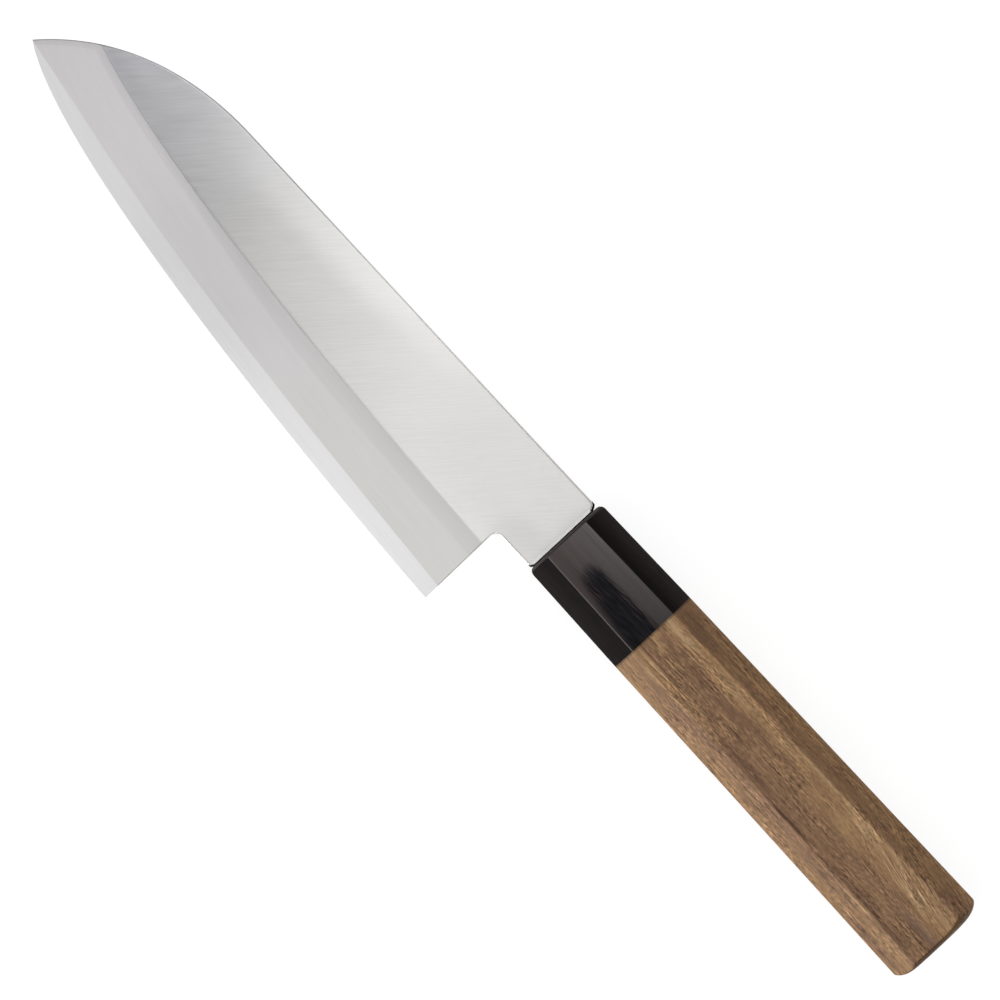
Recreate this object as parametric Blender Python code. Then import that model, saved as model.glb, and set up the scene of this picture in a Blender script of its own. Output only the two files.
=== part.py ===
"""Santoku knife lying on its right side, as an assembly of separate parts, in metres, +Z up.

Every part is modelled in the knife's own frame: x = 0 is the front face of the ferrule with the
blade towards -X and the butt towards +X, y = 0 is the middle of the neck with the spine towards
+Y and the cutting edge towards -Y, and z = 0 is the middle plane of the blade. One empty carries
the parts and moves that frame, so that the world's origin lies under the middle of the knife.
"""

import math

import bmesh
import bpy
from mathutils import Vector

# Blade outline
BLADE_LENGTH = 0.1650
BLADE_HEIGHT = 0.0458
TIP_BELOW_SPINE = 0.0233
TIP_ROUND_LENGTH = 0.0527
SPINE_HANDLE = 0.0137
TIP_SPINE_HANDLE = 0.0256
TIP_SPINE_ANGLE = math.radians(51.1)
HEEL_EDGE_HANDLE = 0.0050
HEEL_EDGE_ANGLE = math.radians(0.9)
TIP_EDGE_HANDLE = 0.0325
TIP_EDGE_ANGLE = math.radians(32.8)
NECK_LENGTH = 0.0126
NECK_HEIGHT = 0.0220
HEEL_LEAN = 0.0003
CHOIL_RADIUS = 0.0028
SHOULDER_RADIUS = 0.0012

# Blade layers and grind
BLADE_THICKNESS = 0.0020
CORE_THICKNESS = 0.00058
EDGE_THICKNESS = 0.0001
BEVEL_HEIGHT_HEEL = 0.0191
BEVEL_HEIGHT_TIP = 0.0167

# Tang
TANG_LENGTH = 0.0880
TANG_ROOT_HEIGHT = 0.0100
TANG_END_HEIGHT = 0.0060
TANG_END_RADIUS = 0.0015
TANG_RELIEF = 0.00006
SHOULDER_STEP = 0.0003

# Handle and ferrule: one tapering octagon, cut across behind the ferrule
HANDLE_LENGTH = 0.1354
FERRULE_LENGTH = 0.0314
HANDLE_THICKNESS = 0.0200
FRONT_HEIGHT = 0.0239
JOINT_HEIGHT = 0.0248
BUTT_HEIGHT = 0.0267
FRONT_AXIS_RISE = 0.0002
BUTT_AXIS_DROP = 0.00035
FACET_CUT = 0.0054
FRONT_EASING = 0.0009
BUTT_FLAT_RADIUS = 0.0068
BUTT_ROUND_RADIUS = 0.0102
BUTT_DOME_RATIO = 0.90

# Seal, dowel and adhesive inside the handle
SEAL_THICKNESS = 0.00045
SEAL_LIP = 0.0009
SEAL_INSET = 0.0002
DOWEL_RADIUS = 0.00675
DOWEL_LENGTH = 0.0500
DOWEL_IN_FERRULE = 0.0190
PLUG_RADIUS = 0.0050
PLUG_END_WALL = 0.0030
HIDDEN_GAP = 0.0003

# Fineness of the curves
EDGE_STEPS = 36
TIP_STEPS = 24
CORNER_STEPS = 5
DOME_STEPS = 10
ROUND_STEPS = 48
CUT_MARGIN = 0.0030
MERGE_DISTANCE = 0.000001
SHARP_ANGLE = math.radians(25)

# Places that follow from the sizes above
SPINE_Y = NECK_HEIGHT / 2
NECK_Y = -NECK_HEIGHT / 2
HEEL = Vector((-NECK_LENGTH, SPINE_Y - BLADE_HEIGHT))
TIP = Vector((HEEL.x - BLADE_LENGTH, SPINE_Y - TIP_BELOW_SPINE))
MACHI_X = -SEAL_THICKNESS
BUTT_TOP_Y = BUTT_HEIGHT / 2 - BUTT_AXIS_DROP
MIDDLE_X = (TIP.x + HANDLE_LENGTH) / 2
MIDDLE_Y = (HEEL.y + BUTT_TOP_Y) / 2
DOWEL_START = FERRULE_LENGTH - DOWEL_IN_FERRULE
DOWEL_END = DOWEL_START + DOWEL_LENGTH
PLUG_END = TANG_LENGTH + HIDDEN_GAP + PLUG_END_WALL

COLOURS = {
    "core_steel": ((0.72, 0.71, 0.71), 0.24, 1.0),
    "clad_steel": ((0.60, 0.59, 0.58), 0.34, 1.0),
    "seal_black": ((0.006, 0.006, 0.007), 0.35, 0.0),
    "ferrule_wood": ((0.020, 0.014, 0.013), 0.22, 0.0),
    "dowel_wood": ((0.55, 0.38, 0.20), 0.65, 0.0),
    "adhesive": ((0.62, 0.50, 0.30), 0.30, 0.0),
    "walnut": ((0.22, 0.135, 0.080), 0.48, 0.0),
}


def clear_scene():
    for obj in list(bpy.data.objects):
        bpy.data.objects.remove(obj, do_unlink=True)


def new_collection(name, hidden=False):
    collection = bpy.data.collections.new(name)
    collection.hide_render = hidden
    bpy.context.scene.collection.children.link(collection)
    return collection


def new_frame():
    frame = bpy.data.objects.new("knife_frame", None)
    frame.location = (-MIDDLE_X, -MIDDLE_Y, HANDLE_THICKNESS / 2)
    KNIFE.objects.link(frame)
    return frame


def material(name):
    colour, roughness, metallic = COLOURS[name]
    made = bpy.data.materials.get(name) or bpy.data.materials.new(name)
    made.use_nodes = True
    shader = made.node_tree.nodes["Principled BSDF"]
    shader.inputs["Base Color"].default_value = (*colour, 1.0)
    shader.inputs["Roughness"].default_value = roughness
    shader.inputs["Metallic"].default_value = metallic
    return made


def part(name, mesh, slot):
    """One visible piece of the knife, carried by its frame."""
    mesh.materials.clear()
    mesh.materials.append(material(slot))
    obj = bpy.data.objects.new(name, mesh)
    KNIFE.objects.link(obj)
    obj.parent = FRAME
    return obj


def cutter(name, mesh):
    """A tool that only shapes other pieces."""
    obj = bpy.data.objects.new(name, mesh)
    CUTTERS.objects.link(obj)
    obj.parent = FRAME
    obj.hide_render = True
    obj.display_type = "WIRE"
    return obj


def boolean(obj, tool, operation="DIFFERENCE"):
    cut = obj.modifiers.new(tool.name, "BOOLEAN")
    cut.operation = operation
    cut.solver = "EXACT"
    cut.object = tool


def mesh_from(name, bm):
    """The finished mesh, facing outwards, smooth on round stretches and sharp at real edges."""
    mesh = bpy.data.meshes.new(name)
    bmesh.ops.recalc_face_normals(bm, faces=bm.faces)
    bm.to_mesh(mesh)
    bm.free()
    mesh.shade_smooth()
    mesh.set_sharp_from_angle(angle=SHARP_ANGLE)
    return mesh


def cubic(start, start_handle, end_handle, end, steps):
    """Points along a cubic curve, without its last point."""
    points = []
    for step in range(steps):
        t = step / steps
        s = 1 - t
        points.append(
            start * s**3 + start_handle * 3 * s**2 * t + end_handle * 3 * s * t**2 + end * t**3
        )
    return points


def arc(centre, radius, first_angle, last_angle):
    """Points round a corner, both ends included; the angles are in degrees."""
    points = []
    for step in range(CORNER_STEPS + 1):
        angle = math.radians(first_angle + (last_angle - first_angle) * step / CORNER_STEPS)
        points.append(centre + radius * Vector((math.cos(angle), math.sin(angle))))
    return points


def edge_curve():
    """The cutting edge from heel to tip."""
    heel_handle = HEEL + HEEL_EDGE_HANDLE * Vector((-math.cos(HEEL_EDGE_ANGLE), math.sin(HEEL_EDGE_ANGLE)))
    tip_handle = TIP + TIP_EDGE_HANDLE * Vector((math.cos(TIP_EDGE_ANGLE), -math.sin(TIP_EDGE_ANGLE)))
    return cubic(HEEL, heel_handle, tip_handle, TIP, EDGE_STEPS)


def tip_curve():
    """The rounded back of the tip, from the tip up to the straight spine."""
    spine_start = Vector((TIP.x + TIP_ROUND_LENGTH, SPINE_Y))
    tip_handle = TIP + TIP_SPINE_HANDLE * Vector((math.cos(TIP_SPINE_ANGLE), math.sin(TIP_SPINE_ANGLE)))
    spine_handle = spine_start - Vector((SPINE_HANDLE, 0))
    return cubic(TIP, tip_handle, spine_handle, spine_start, TIP_STEPS) + [spine_start]


def tang_outline(start_x, gap):
    """The tang's upper corner round to its lower one, grown by a gap on every free side."""
    root = TANG_ROOT_HEIGHT / 2 + gap
    end = TANG_END_HEIGHT / 2 + gap
    end_x = TANG_LENGTH + gap
    corner = TANG_END_RADIUS + gap
    upper = arc(Vector((end_x - corner, end - corner)), corner, 90, 0)
    lower = arc(Vector((end_x - corner, corner - end)), corner, 0, -90)
    return [Vector((start_x, root))] + upper + lower + [Vector((start_x, -root))]


def blade_outline():
    """Spine, shoulder, tang, neck, choil, heel and edge as one closed line, going clockwise."""
    shoulder_x = MACHI_X - SHOULDER_RADIUS
    upper = arc(Vector((shoulder_x, SPINE_Y - SHOULDER_RADIUS)), SHOULDER_RADIUS, 90, 0)
    lower = arc(Vector((shoulder_x, NECK_Y + SHOULDER_RADIUS)), SHOULDER_RADIUS, 0, -90)
    choil_x = HEEL.x - HEEL_LEAN + CHOIL_RADIUS
    choil = arc(Vector((choil_x, NECK_Y - CHOIL_RADIUS)), CHOIL_RADIUS, 90, 180)
    return tip_curve() + upper + tang_outline(MACHI_X, 0) + lower + choil + edge_curve()


def plate(name, outline, low, high):
    """A flat outline filled and given its thickness, with its faces exactly at low and high."""
    curve = bpy.data.curves.new(name, "CURVE")
    curve.dimensions = "2D"
    curve.fill_mode = "BOTH"
    curve.extrude = (high - low) / 2
    spline = curve.splines.new("POLY")
    spline.points.add(len(outline) - 1)
    for point, place in zip(spline.points, outline):
        point.co = (place.x, place.y, 0, 1)
    spline.use_cyclic_u = True
    source = bpy.data.objects.new(name, curve)
    bpy.context.scene.collection.objects.link(source)
    evaluated = source.evaluated_get(bpy.context.evaluated_depsgraph_get())
    mesh = bpy.data.meshes.new_from_object(evaluated)
    bpy.data.objects.remove(source, do_unlink=True)
    bpy.data.curves.remove(curve)
    bm = bmesh.new()
    bm.from_mesh(mesh)
    bpy.data.meshes.remove(mesh)
    bmesh.ops.remove_doubles(bm, verts=bm.verts, dist=MERGE_DISTANCE)
    for vert in bm.verts:
        vert.co.z = high if vert.co.z > 0 else low
    return mesh_from(name, bm)


def box(low, high):
    """A box between its lowest and its highest corner."""
    bm = bmesh.new()
    bmesh.ops.create_cube(bm, size=1.0)
    for vert in bm.verts:
        vert.co = [high[i] if vert.co[i] > 0 else low[i] for i in range(3)]
    return bm


def tang_relief(name, side):
    """A shallow step that leaves the tang thinner than the blade, on its left (+1) or right (-1) side."""
    floor_z = side * (BLADE_THICKNESS / 2 - TANG_RELIEF)
    outer_z = side * (BLADE_THICKNESS / 2 + CUT_MARGIN)
    low = (MACHI_X - SHOULDER_STEP, -NECK_HEIGHT, min(floor_z, outer_z))
    high = (TANG_LENGTH + CUT_MARGIN, NECK_HEIGHT, max(floor_z, outer_z))
    return cutter(name, mesh_from(name, box(low, high)))


def bevel_cutter(name, side):
    """The wedge that grinds the left (+1) or right (-1) side, from the bevel's shoulder to the edge."""
    rail = edge_curve() + [TIP]
    past_heel = rail[0] + (rail[0] - rail[1]).normalized() * CUT_MARGIN
    past_tip = rail[-1] + (rail[-1] - rail[-2]).normalized() * CUT_MARGIN
    bm = bmesh.new()
    sections = []
    for point in [past_heel] + rail + [past_tip]:
        along = (HEEL.x - point.x) / BLADE_LENGTH
        height = BEVEL_HEIGHT_HEEL + (BEVEL_HEIGHT_TIP - BEVEL_HEIGHT_HEEL) * along
        slope = (BLADE_THICKNESS - EDGE_THICKNESS) / 2 / height
        low_y = point.y - CUT_MARGIN
        high_y = point.y + height + CUT_MARGIN
        low_z = EDGE_THICKNESS / 2 - slope * CUT_MARGIN
        high_z = BLADE_THICKNESS / 2 + slope * CUT_MARGIN
        corners = ((low_y, low_z), (high_y, high_z), (low_y, high_z))
        sections.append([bm.verts.new((point.x, y, side * z)) for y, z in corners])
    for near, far in zip(sections, sections[1:]):
        for i in range(3):
            j = (i + 1) % 3
            bm.faces.new((near[i], near[j], far[j], far[i]))
    bm.faces.new(sections[0])
    bm.faces.new(sections[-1])
    return cutter(name, mesh_from(name, bm))


def blade():
    """Hard core steel between two claddings, all three with the same outline and tang."""
    outline = blade_outline()
    half_core = CORE_THICKNESS / 2
    half_blade = BLADE_THICKNESS / 2
    left_bevel = bevel_cutter("left_bevel", 1)
    right_bevel = bevel_cutter("right_bevel", -1)
    core = part("core_steel", plate("core_steel", outline, -half_core, half_core), "core_steel")
    boolean(core, left_bevel)
    boolean(core, right_bevel)
    left = part("cladding_left", plate("cladding_left", outline, half_core, half_blade), "clad_steel")
    boolean(left, left_bevel)
    boolean(left, tang_relief("left_relief", 1))
    right = part("cladding_right", plate("cladding_right", outline, -half_blade, -half_core), "clad_steel")
    boolean(right, right_bevel)
    boolean(right, tang_relief("right_relief", -1))


def axis_y(x):
    """Height of the handle's middle line, which sinks a little towards the butt."""
    return FRONT_AXIS_RISE - (FRONT_AXIS_RISE + BUTT_AXIS_DROP) * x / HANDLE_LENGTH


def octagon_bar(start_x, start_height, end_x, end_height):
    """A stretch of the tapering octagon: a box with its two ends set, then its long edges cut."""
    bm = bmesh.new()
    bmesh.ops.create_cube(bm, size=1.0)
    for vert in bm.verts:
        x, height = (start_x, start_height) if vert.co.x < 0 else (end_x, end_height)
        vert.co = (x, axis_y(x) + vert.co.y * height, vert.co.z * HANDLE_THICKNESS)
    long_edges = [edge for edge in bm.edges if edge.verts[0].co.x != edge.verts[1].co.x]
    bmesh.ops.bevel(
        bm, geom=long_edges, offset=FACET_CUT, offset_type="OFFSET", segments=1,
        profile=0.5, affect="EDGES", material=-1, clamp_overlap=False,
    )
    return bm


def turned(profile):
    """A solid turned about the knife's own axis from (x, radius) points, front to back, flat at both ends."""
    bm = bmesh.new()
    verts = [bm.verts.new((x, radius, 0)) for x, radius in profile]
    edges = [bm.edges.new(pair) for pair in zip(verts, verts[1:])]
    bmesh.ops.spin(
        bm, geom=verts + edges, cent=(0, 0, 0), axis=(1, 0, 0), angle=math.tau,
        steps=ROUND_STEPS, use_merge=True, use_duplicate=False,
    )
    bmesh.ops.holes_fill(bm, edges=bm.edges)
    return bm


def round_bar(name, radius, start_x, end_x):
    return mesh_from(name, turned([(start_x, radius), (end_x, radius)]))


def tang_slot():
    """The tang and a hidden gap all round it."""
    half = BLADE_THICKNESS / 2 + HIDDEN_GAP
    outline = tang_outline(MACHI_X - CUT_MARGIN, HIDDEN_GAP)
    return cutter("tang_slot", plate("tang_slot", outline, -half, half))


def blade_seal(slot):
    """The thin black bead between the blade's shoulders and the ferrule, round the tang."""
    half_height = NECK_HEIGHT / 2 - SEAL_INSET
    half_width = BLADE_THICKNESS / 2 + SEAL_LIP
    bead = box((MACHI_X, -half_height, -half_width), (0, half_height, half_width))
    seal = part("blade_seal", mesh_from("blade_seal", bead), "seal_black")
    boolean(seal, slot)


def ferrule(slot):
    """The dark octagonal ferrule, its front edges eased, slotted for the tang and bored for the dowel."""
    bm = octagon_bar(0.0, FRONT_HEIGHT, FERRULE_LENGTH, JOINT_HEIGHT)
    front = [edge for edge in bm.edges if max(vert.co.x for vert in edge.verts) < FRONT_EASING]
    bmesh.ops.bevel(
        bm, geom=front, offset=FRONT_EASING, offset_type="OFFSET", segments=3,
        profile=0.5, affect="EDGES", material=-1,
    )
    bore_end = FERRULE_LENGTH + CUT_MARGIN
    bore = round_bar("ferrule_bore", DOWEL_RADIUS + HIDDEN_GAP, DOWEL_START - HIDDEN_GAP, bore_end)
    body = part("ferrule", mesh_from("ferrule", bm), "ferrule_wood")
    boolean(body, slot)
    boolean(body, cutter("ferrule_bore", bore))


def ferrule_dowel(slot):
    """The round peg that joins ferrule and handle and holds the tang in its slot."""
    peg = round_bar("ferrule_dowel", DOWEL_RADIUS, DOWEL_START, DOWEL_END)
    boolean(part("ferrule_dowel", peg, "dowel_wood"), slot)


def tang_adhesive(slot):
    """The set adhesive round the end of the tang, behind the dowel."""
    plug = round_bar("tang_adhesive", PLUG_RADIUS, DOWEL_END + HIDDEN_GAP, PLUG_END)
    boolean(part("tang_adhesive", plug, "adhesive"), slot)


def butt_dome():
    """A turned form whose far end is flat in the middle and rounds off towards the rim.

    The form reaches past the octagon all round, and is a little shallower from face to face.
    """
    rim = math.hypot(BUTT_HEIGHT, HANDLE_THICKNESS) / 2 / BUTT_DOME_RATIO
    profile = [(FERRULE_LENGTH - CUT_MARGIN, rim)]
    for step in range(DOME_STEPS + 1):
        out = (rim - BUTT_FLAT_RADIUS) * (1 - step / DOME_STEPS)
        drop = BUTT_ROUND_RADIUS - math.sqrt(max(BUTT_ROUND_RADIUS**2 - out**2, 0))
        profile.append((HANDLE_LENGTH - drop, BUTT_FLAT_RADIUS + out))
    bm = turned(profile)
    for vert in bm.verts:
        vert.co.z *= BUTT_DOME_RATIO
        vert.co.y += axis_y(HANDLE_LENGTH)
    return cutter("butt_dome", mesh_from("butt_dome", bm))


def handle_body():
    """The walnut octagon, rounded at the butt and drilled in two steps for the dowel and the adhesive."""
    bar = octagon_bar(FERRULE_LENGTH, JOINT_HEIGHT, HANDLE_LENGTH, BUTT_HEIGHT)
    body = part("handle_body", mesh_from("handle_body", bar), "walnut")
    step_x = DOWEL_END + HIDDEN_GAP
    stepped_bore = turned([
        (FERRULE_LENGTH - CUT_MARGIN, DOWEL_RADIUS + HIDDEN_GAP),
        (step_x, DOWEL_RADIUS + HIDDEN_GAP),
        (step_x, PLUG_RADIUS + HIDDEN_GAP),
        (PLUG_END + HIDDEN_GAP, PLUG_RADIUS + HIDDEN_GAP),
    ])
    boolean(body, butt_dome(), "INTERSECT")
    boolean(body, cutter("handle_bore", mesh_from("handle_bore", stepped_bore)))


clear_scene()
KNIFE = new_collection("santoku_knife")
CUTTERS = new_collection("cutters", hidden=True)
FRAME = new_frame()
SLOT = tang_slot()
blade()
blade_seal(SLOT)
ferrule(SLOT)
ferrule_dowel(SLOT)
tang_adhesive(SLOT)
handle_body()
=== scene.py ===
"""Finish and stage of a santoku knife, laid out as an add-on and run as a script.

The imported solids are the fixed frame. The blade's three layers, the seal, the ferrule and the walnut
handle get finer meshes with eased edges in the same places, and every piece gets its own finish.
The pieces are shaped in the knife's own frame: x = 0 is the ferrule's front face with the blade
towards -X, y = 0 is the middle of the neck with the spine towards +Y, and z = 0 is the blade's
middle plane. They are then moved to where the frame holds them.
"""
import math

import bmesh
import bpy
from bpy.props import FloatProperty, FloatVectorProperty, PointerProperty
from mathutils import Matrix, Vector


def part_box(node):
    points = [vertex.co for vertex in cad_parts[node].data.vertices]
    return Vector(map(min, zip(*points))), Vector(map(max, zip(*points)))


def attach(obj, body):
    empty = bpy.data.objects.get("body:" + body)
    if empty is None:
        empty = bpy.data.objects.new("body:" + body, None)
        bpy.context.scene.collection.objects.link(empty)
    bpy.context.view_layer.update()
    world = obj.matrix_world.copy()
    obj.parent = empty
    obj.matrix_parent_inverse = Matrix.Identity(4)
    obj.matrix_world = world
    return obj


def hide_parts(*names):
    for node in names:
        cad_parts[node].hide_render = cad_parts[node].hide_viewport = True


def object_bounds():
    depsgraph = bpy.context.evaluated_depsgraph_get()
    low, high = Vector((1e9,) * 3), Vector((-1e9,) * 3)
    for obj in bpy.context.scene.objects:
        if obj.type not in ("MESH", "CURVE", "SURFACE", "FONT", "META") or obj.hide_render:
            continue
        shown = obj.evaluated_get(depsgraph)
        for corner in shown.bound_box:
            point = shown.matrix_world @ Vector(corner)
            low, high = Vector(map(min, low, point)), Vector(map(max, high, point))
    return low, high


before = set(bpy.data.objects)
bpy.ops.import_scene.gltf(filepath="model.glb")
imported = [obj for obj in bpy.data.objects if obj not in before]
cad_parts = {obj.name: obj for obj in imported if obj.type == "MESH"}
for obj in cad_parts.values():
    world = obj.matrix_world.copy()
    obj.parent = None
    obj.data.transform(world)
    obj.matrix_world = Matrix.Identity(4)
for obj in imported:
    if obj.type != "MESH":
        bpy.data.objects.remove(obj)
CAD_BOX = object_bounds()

bl_info = {
    "name": "Santoku knife finish",
    "version": (1, 0, 0),
    "blender": (4, 5, 0),
    "location": "3D View > Sidebar > Santoku",
    "description": "Builds the finely finished pieces of a santoku knife and its stage",
    "category": "Object",
}

BODY = "root"
MM = 0.001
TOUCH = 0.001 * MM

# Curves of the blade's outline, as the solids have them
SPINE_HANDLE = 13.7 * MM
TIP_SPINE_HANDLE = 25.6 * MM
TIP_SPINE_ANGLE = math.radians(51.1)
HEEL_EDGE_HANDLE = 5.0 * MM
HEEL_EDGE_ANGLE = math.radians(0.9)
TIP_EDGE_HANDLE = 32.5 * MM
TIP_EDGE_ANGLE = math.radians(32.8)
HEEL_LEAN = 0.3 * MM
CHOIL_RADIUS = 2.1 * MM
TOP_CORNER = 1.7 * MM
LOW_CORNER = 0.9 * MM
CORNER_POWER = 1.5
TANG_ROOT = 10.0 * MM
TANG_END = 6.0 * MM

# The grind: a plain bevel that hollows out just below its soft shoulder
EDGE_HALF = 0.05 * MM
HOLLOW_SHARE = 0.08
HOLLOW_POWER = 8
SHOULDER_SOFTNESS = 0.05 * MM
TIP_SOFTNESS = 0.04 * MM
BRUSH_SLANT = math.radians(50)
# Width of the painted shade along the eased rim
RIM_LINE = 0.30 * MM
# Painted darker band below the shoulder, a painted reflection: its width at the heel and at the tip, and
# between which shares of the length it narrows
BAND_WIDE = 4.8 * MM
BAND_NARROW = 2.4 * MM
BAND_NARROWING = (0.415, 0.65)
STRIP_TIP_TAPER = 11.5 * MM
STRIP_HEEL_DROP = 0.7 * MM
STRIP_HEEL_POWER = 8

# Fineness of the blade's grid
TIP_CROWDING = 1.35
BLADE_COLUMNS = 140
CORNER_COLUMNS = 8
NECK_COLUMNS = 8
HEEL_RIM_SHARES = (1.6, 0.9, 0.45, 0.15)
RIM_SHARES = (0.030, 0.018, 0.008, 0.002)
SHOULDER_SHARES = (0.80, 0.86, 0.90, 0.93, 0.955, 0.975, 0.99)
SLOPE_STEP = 0.1 * MM
BISECTIONS = 40
MERGE_DISTANCE = 0.0000005
CORE_ROWS = (9, 2, 1, 1, 1, 1)
CLAD_ROWS = (24, 5, 8, 10, 9)
FLAT_SHARES = (0.06, 0.12, 0.28)

# Turn between faces, in degrees, from which an edge stays sharp
SHARP_TURN = 40
SHARP_FACET_TURN = 30

# The seal: its thickness behind the blade, and how its lips swell towards the middle of the neck
SEAL_THICKNESS = 0.32 * MM
SEAL_STEPS = 8
LIP_LEAST = 0.15
LIP_POWER = 6
PLACE_DIGITS = 7

# The octagon of ferrule and handle: its axis, how far its broad facets are narrowed, and the
# ferrule's front, which is rounded more above and below than beside the broad facets
FERRULE_AXIS = 10.9 * MM
FERRULE_AXIS_Z = 10.0 * MM
FACET_TRIM = 0.24 * MM
FACET_DEPTH = 8.5 * MM
FRONT_EASING = 0.9 * MM
FRONT_GROWTH_HIGH = 1.5
FRONT_GROWTH_BROAD = 0.7
FRONT_HOLE_REACH = 7.5 * MM
FRONT_MARGIN = 0.01 * MM
HIGH_CORNER = 9 * MM
EASE_STEPS = 3
FACET_TURN = math.radians(20)
FLAT_TURN = math.radians(0.3)
LENGTHWISE = 0.99
FACET_WEIGHT = 100

# The rounded butt: where the handle is cut, how far the butt sinks and drops, and its rings
BUTT_CUT = 4.5 * MM
BUTT_SINK = 0.33 * MM
BUTT_DROP = 2.25 * MM
BUTT_REACH = 13.33 * MM
BUTT_POWER = 7
BUTT_FLATNESS = 1.2325
BUTT_ROUNDNESS = (6.0, 2.6)
BUTT_RIM_CUTS = 11
BUTT_RIM_ROUNDS = 3
BUTT_RINGS = (0.955, 0.925, 0.89, 0.85, 0.80, 0.74, 0.66, 0.56, 0.44, 0.30, 0.15)
BAR_LEAST = 10 * MM
WALNUT_BAR_LEAST = 50 * MM

# Painted reflections on the flats, lighter (above 0) and darker (below 0), and where the walnut is golden
# (above 0) and darker (below 0): place and reach along X and Y in millimetres, and amount; then both along Z
STEEL_PAINTED_REFLECTIONS = (
    (-75, 21.5, 58, 11, 0.17),
    (45, 4, 28, 22, -0.17),
    (-128, 2, 62, 14, -0.09),
    (2, 12, 34, 22, -0.07),
    (-140, 9, 16, 5, -0.05),
    (16, 1.5, 13, 9, -0.10),
)
STEEL_DEPTH = (10, 9)
WALNUT_ZONES = (
    (63, 4.9, 24, 2.7, 0.17),
    (57, 15.7, 11, 1.6, 0.15),
    (72, 12.0, 22, 2.7, -0.12),
    (90, 13.7, 17, 2.0, -0.10),
    (126, 13.0, 27, 2.4, 0.13),
    (150, 13.7, 15, 2.5, 0.15),
    (92, 5.2, 11, 1.6, -0.14),
    (111, 15.2, 10, 1.1, -0.13),
    (131, 4.4, 15, 1.3, -0.17),
    (151, 8.3, 10, 1.5, -0.11),
    (140, 7.1, 12, 1.1, 0.10),
    (148, 1.5, 11, 1.3, 0.14),
    (116, 2.0, 17, 1.1, -0.05),
    (56, -1.8, 10, 1.6, 0.08),
    (145, -1.4, 18, 1.3, -0.17),
    (143, 3.7, 12, 0.9, -0.10),
    (99, 0.0, 7, 1.1, -0.14),
    (58, 19.8, 11, 3.9, -0.12),
    (134, 2.8, 8, 0.9, 0.14),
    (70, 8.8, 12, 1.3, -0.06),
    (152, 20.5, 12, 3.0, -0.10),
    (120, 17.2, 30, 0.9, 0.07),
    (68, 2.7, 20, 1.2, -0.08),
    (87, 7.1, 8, 1.0, -0.10),
    (54, 10.6, 5, 2.2, 0.16),
    (54.5, 1.3, 4, 1.2, 0.10),
    (77, 14.2, 9, 1.6, 0.10),
    (126, 13.6, 9, 1.6, -0.09),
    (149, 14.0, 7, 1.6, -0.08),
    (148, 10.6, 8, 1.4, 0.08),
)
WALNUT_STREAKS = (
    (108.2, 3.8, 11.2, 0.68, -0.36),
    (57.8, 6.6, 8.3, 0.49, -0.24),
    (58.6, 5.8, 9.3, 0.44, 0.18),
    (124.5, 1.0, 2.9, 0.54, -0.26),
    (139.2, -0.8, 5.4, 0.49, -0.24),
    (84.2, 8.6, 6.8, 0.54, -0.20),
    (77.4, 7.4, 3.9, 1.10, -0.16),
    (93.5, 5.4, 7.8, 0.78, -0.07),
)
WALNUT_DEPTH = (20, 12)

# Ground tone of the walnut across the handle: height in millimetres and tone
WALNUT_ACROSS = (
    (-1.2, 0.67), (0.0, 0.63), (1.75, 0.57), (2.7, 0.57), (3.7, 0.54), (9.6, 0.55), (11.0, 0.58),
    (13.2, 0.62), (14.4, 0.72), (15.4, 0.80), (16.4, 0.74), (17.5, 0.77), (17.9, 0.56), (20.0, 0.55),
    (22.0, 0.57),
)
WALNUT_LOW = -3
WALNUT_HIGH = 24

# Other soft spots, as place and reach along X, Y and Z in millimetres: the dimmer grind and core, the
# ferrule's red fibres, and the walnut's curl, fine lines and dusky streak
DIM_GRIND = ((-87, -6, 10), (34, 40, 20))
DIM_CORE = ((-87, -14, 10), (34, 40, 20))
RED_SPOTS = (((46, 13.4, 20), (12, 4, 5)), ((31, 6.6, 20), (13, 3.2, 5)))
CURL_SPOTS = (((62, 11.0, 20), (18, 5.0, 8)), ((84, 9.0, 20), (12, 3.5, 8)))
LINE_SPOTS = (((143, 14.5, 20), (22, 4.6, 8)), ((136, 3.0, 20), (15, 1.6, 8)))
DUSK_SPOT = ((151, 9.6, 20), (13, 1.6, 8))

# The height of a soft spot's cone from which it is full, and the stretch that a noise mostly fills
PATCH_CORE = 0.7
NOISE_RANGE = (0.3, 0.7)

# The brushing: the stretch that its lines fill, and its relief and gloss
LINES_RANGE = (0.35, 0.65)
STEEL_RELIEF = 0.004 * MM
STEEL_SPREAD = 0.6
ROUGHNESS_SWAY = 0.03
QUARTER_TURN = 0.25

# Colours inside a finish, as linear values
SEAL_BLACKS = ((0.0015, 0.0015, 0.0015), (0.006, 0.005, 0.005))
# Painted dark reflection that breaks the painted sheen on the ferrule's broad facet
DARK_REFLECTION_BLACK = (0.0088, 0.0086, 0.0102)
# Painted highlight on the ferrule's lower eased edges
EDGE_HIGHLIGHT = (0.12, 0.105, 0.105)
RED_FIBRES = (0.075, 0.040, 0.040)
WALNUT_DUSK = (0.172, 0.108, 0.083)
DOWEL_WOODS = ((0.42, 0.28, 0.15), (0.60, 0.43, 0.25))
RESINS = ((0.50, 0.38, 0.20), (0.66, 0.53, 0.32))

# The stage: the floor, how far it keeps shadows, and between which heights of the sky the white
# round the horizon gives way to the dim room above
FLOOR_HALF_WIDTH = 6.0
FLOOR_GAP = 0.2 * MM
FLOOR_LIT_GREY = 0.85
FLOOR_SHOWN_GREY = 0.26
FLOOR_GLOW = 0.84
SHADOW_REACH = 0.30
WHITE_UP_TO = 0.45
DIM_FROM = 0.80

# The camera, and the middle of its picture from the ferrule's front on the blade's middle plane
SENSOR_WIDTH = 36.0
CLIP_END = 20.0
PICTURE_MIDDLE = (-17.49 * MM, -5.24 * MM, 0.0)

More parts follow.
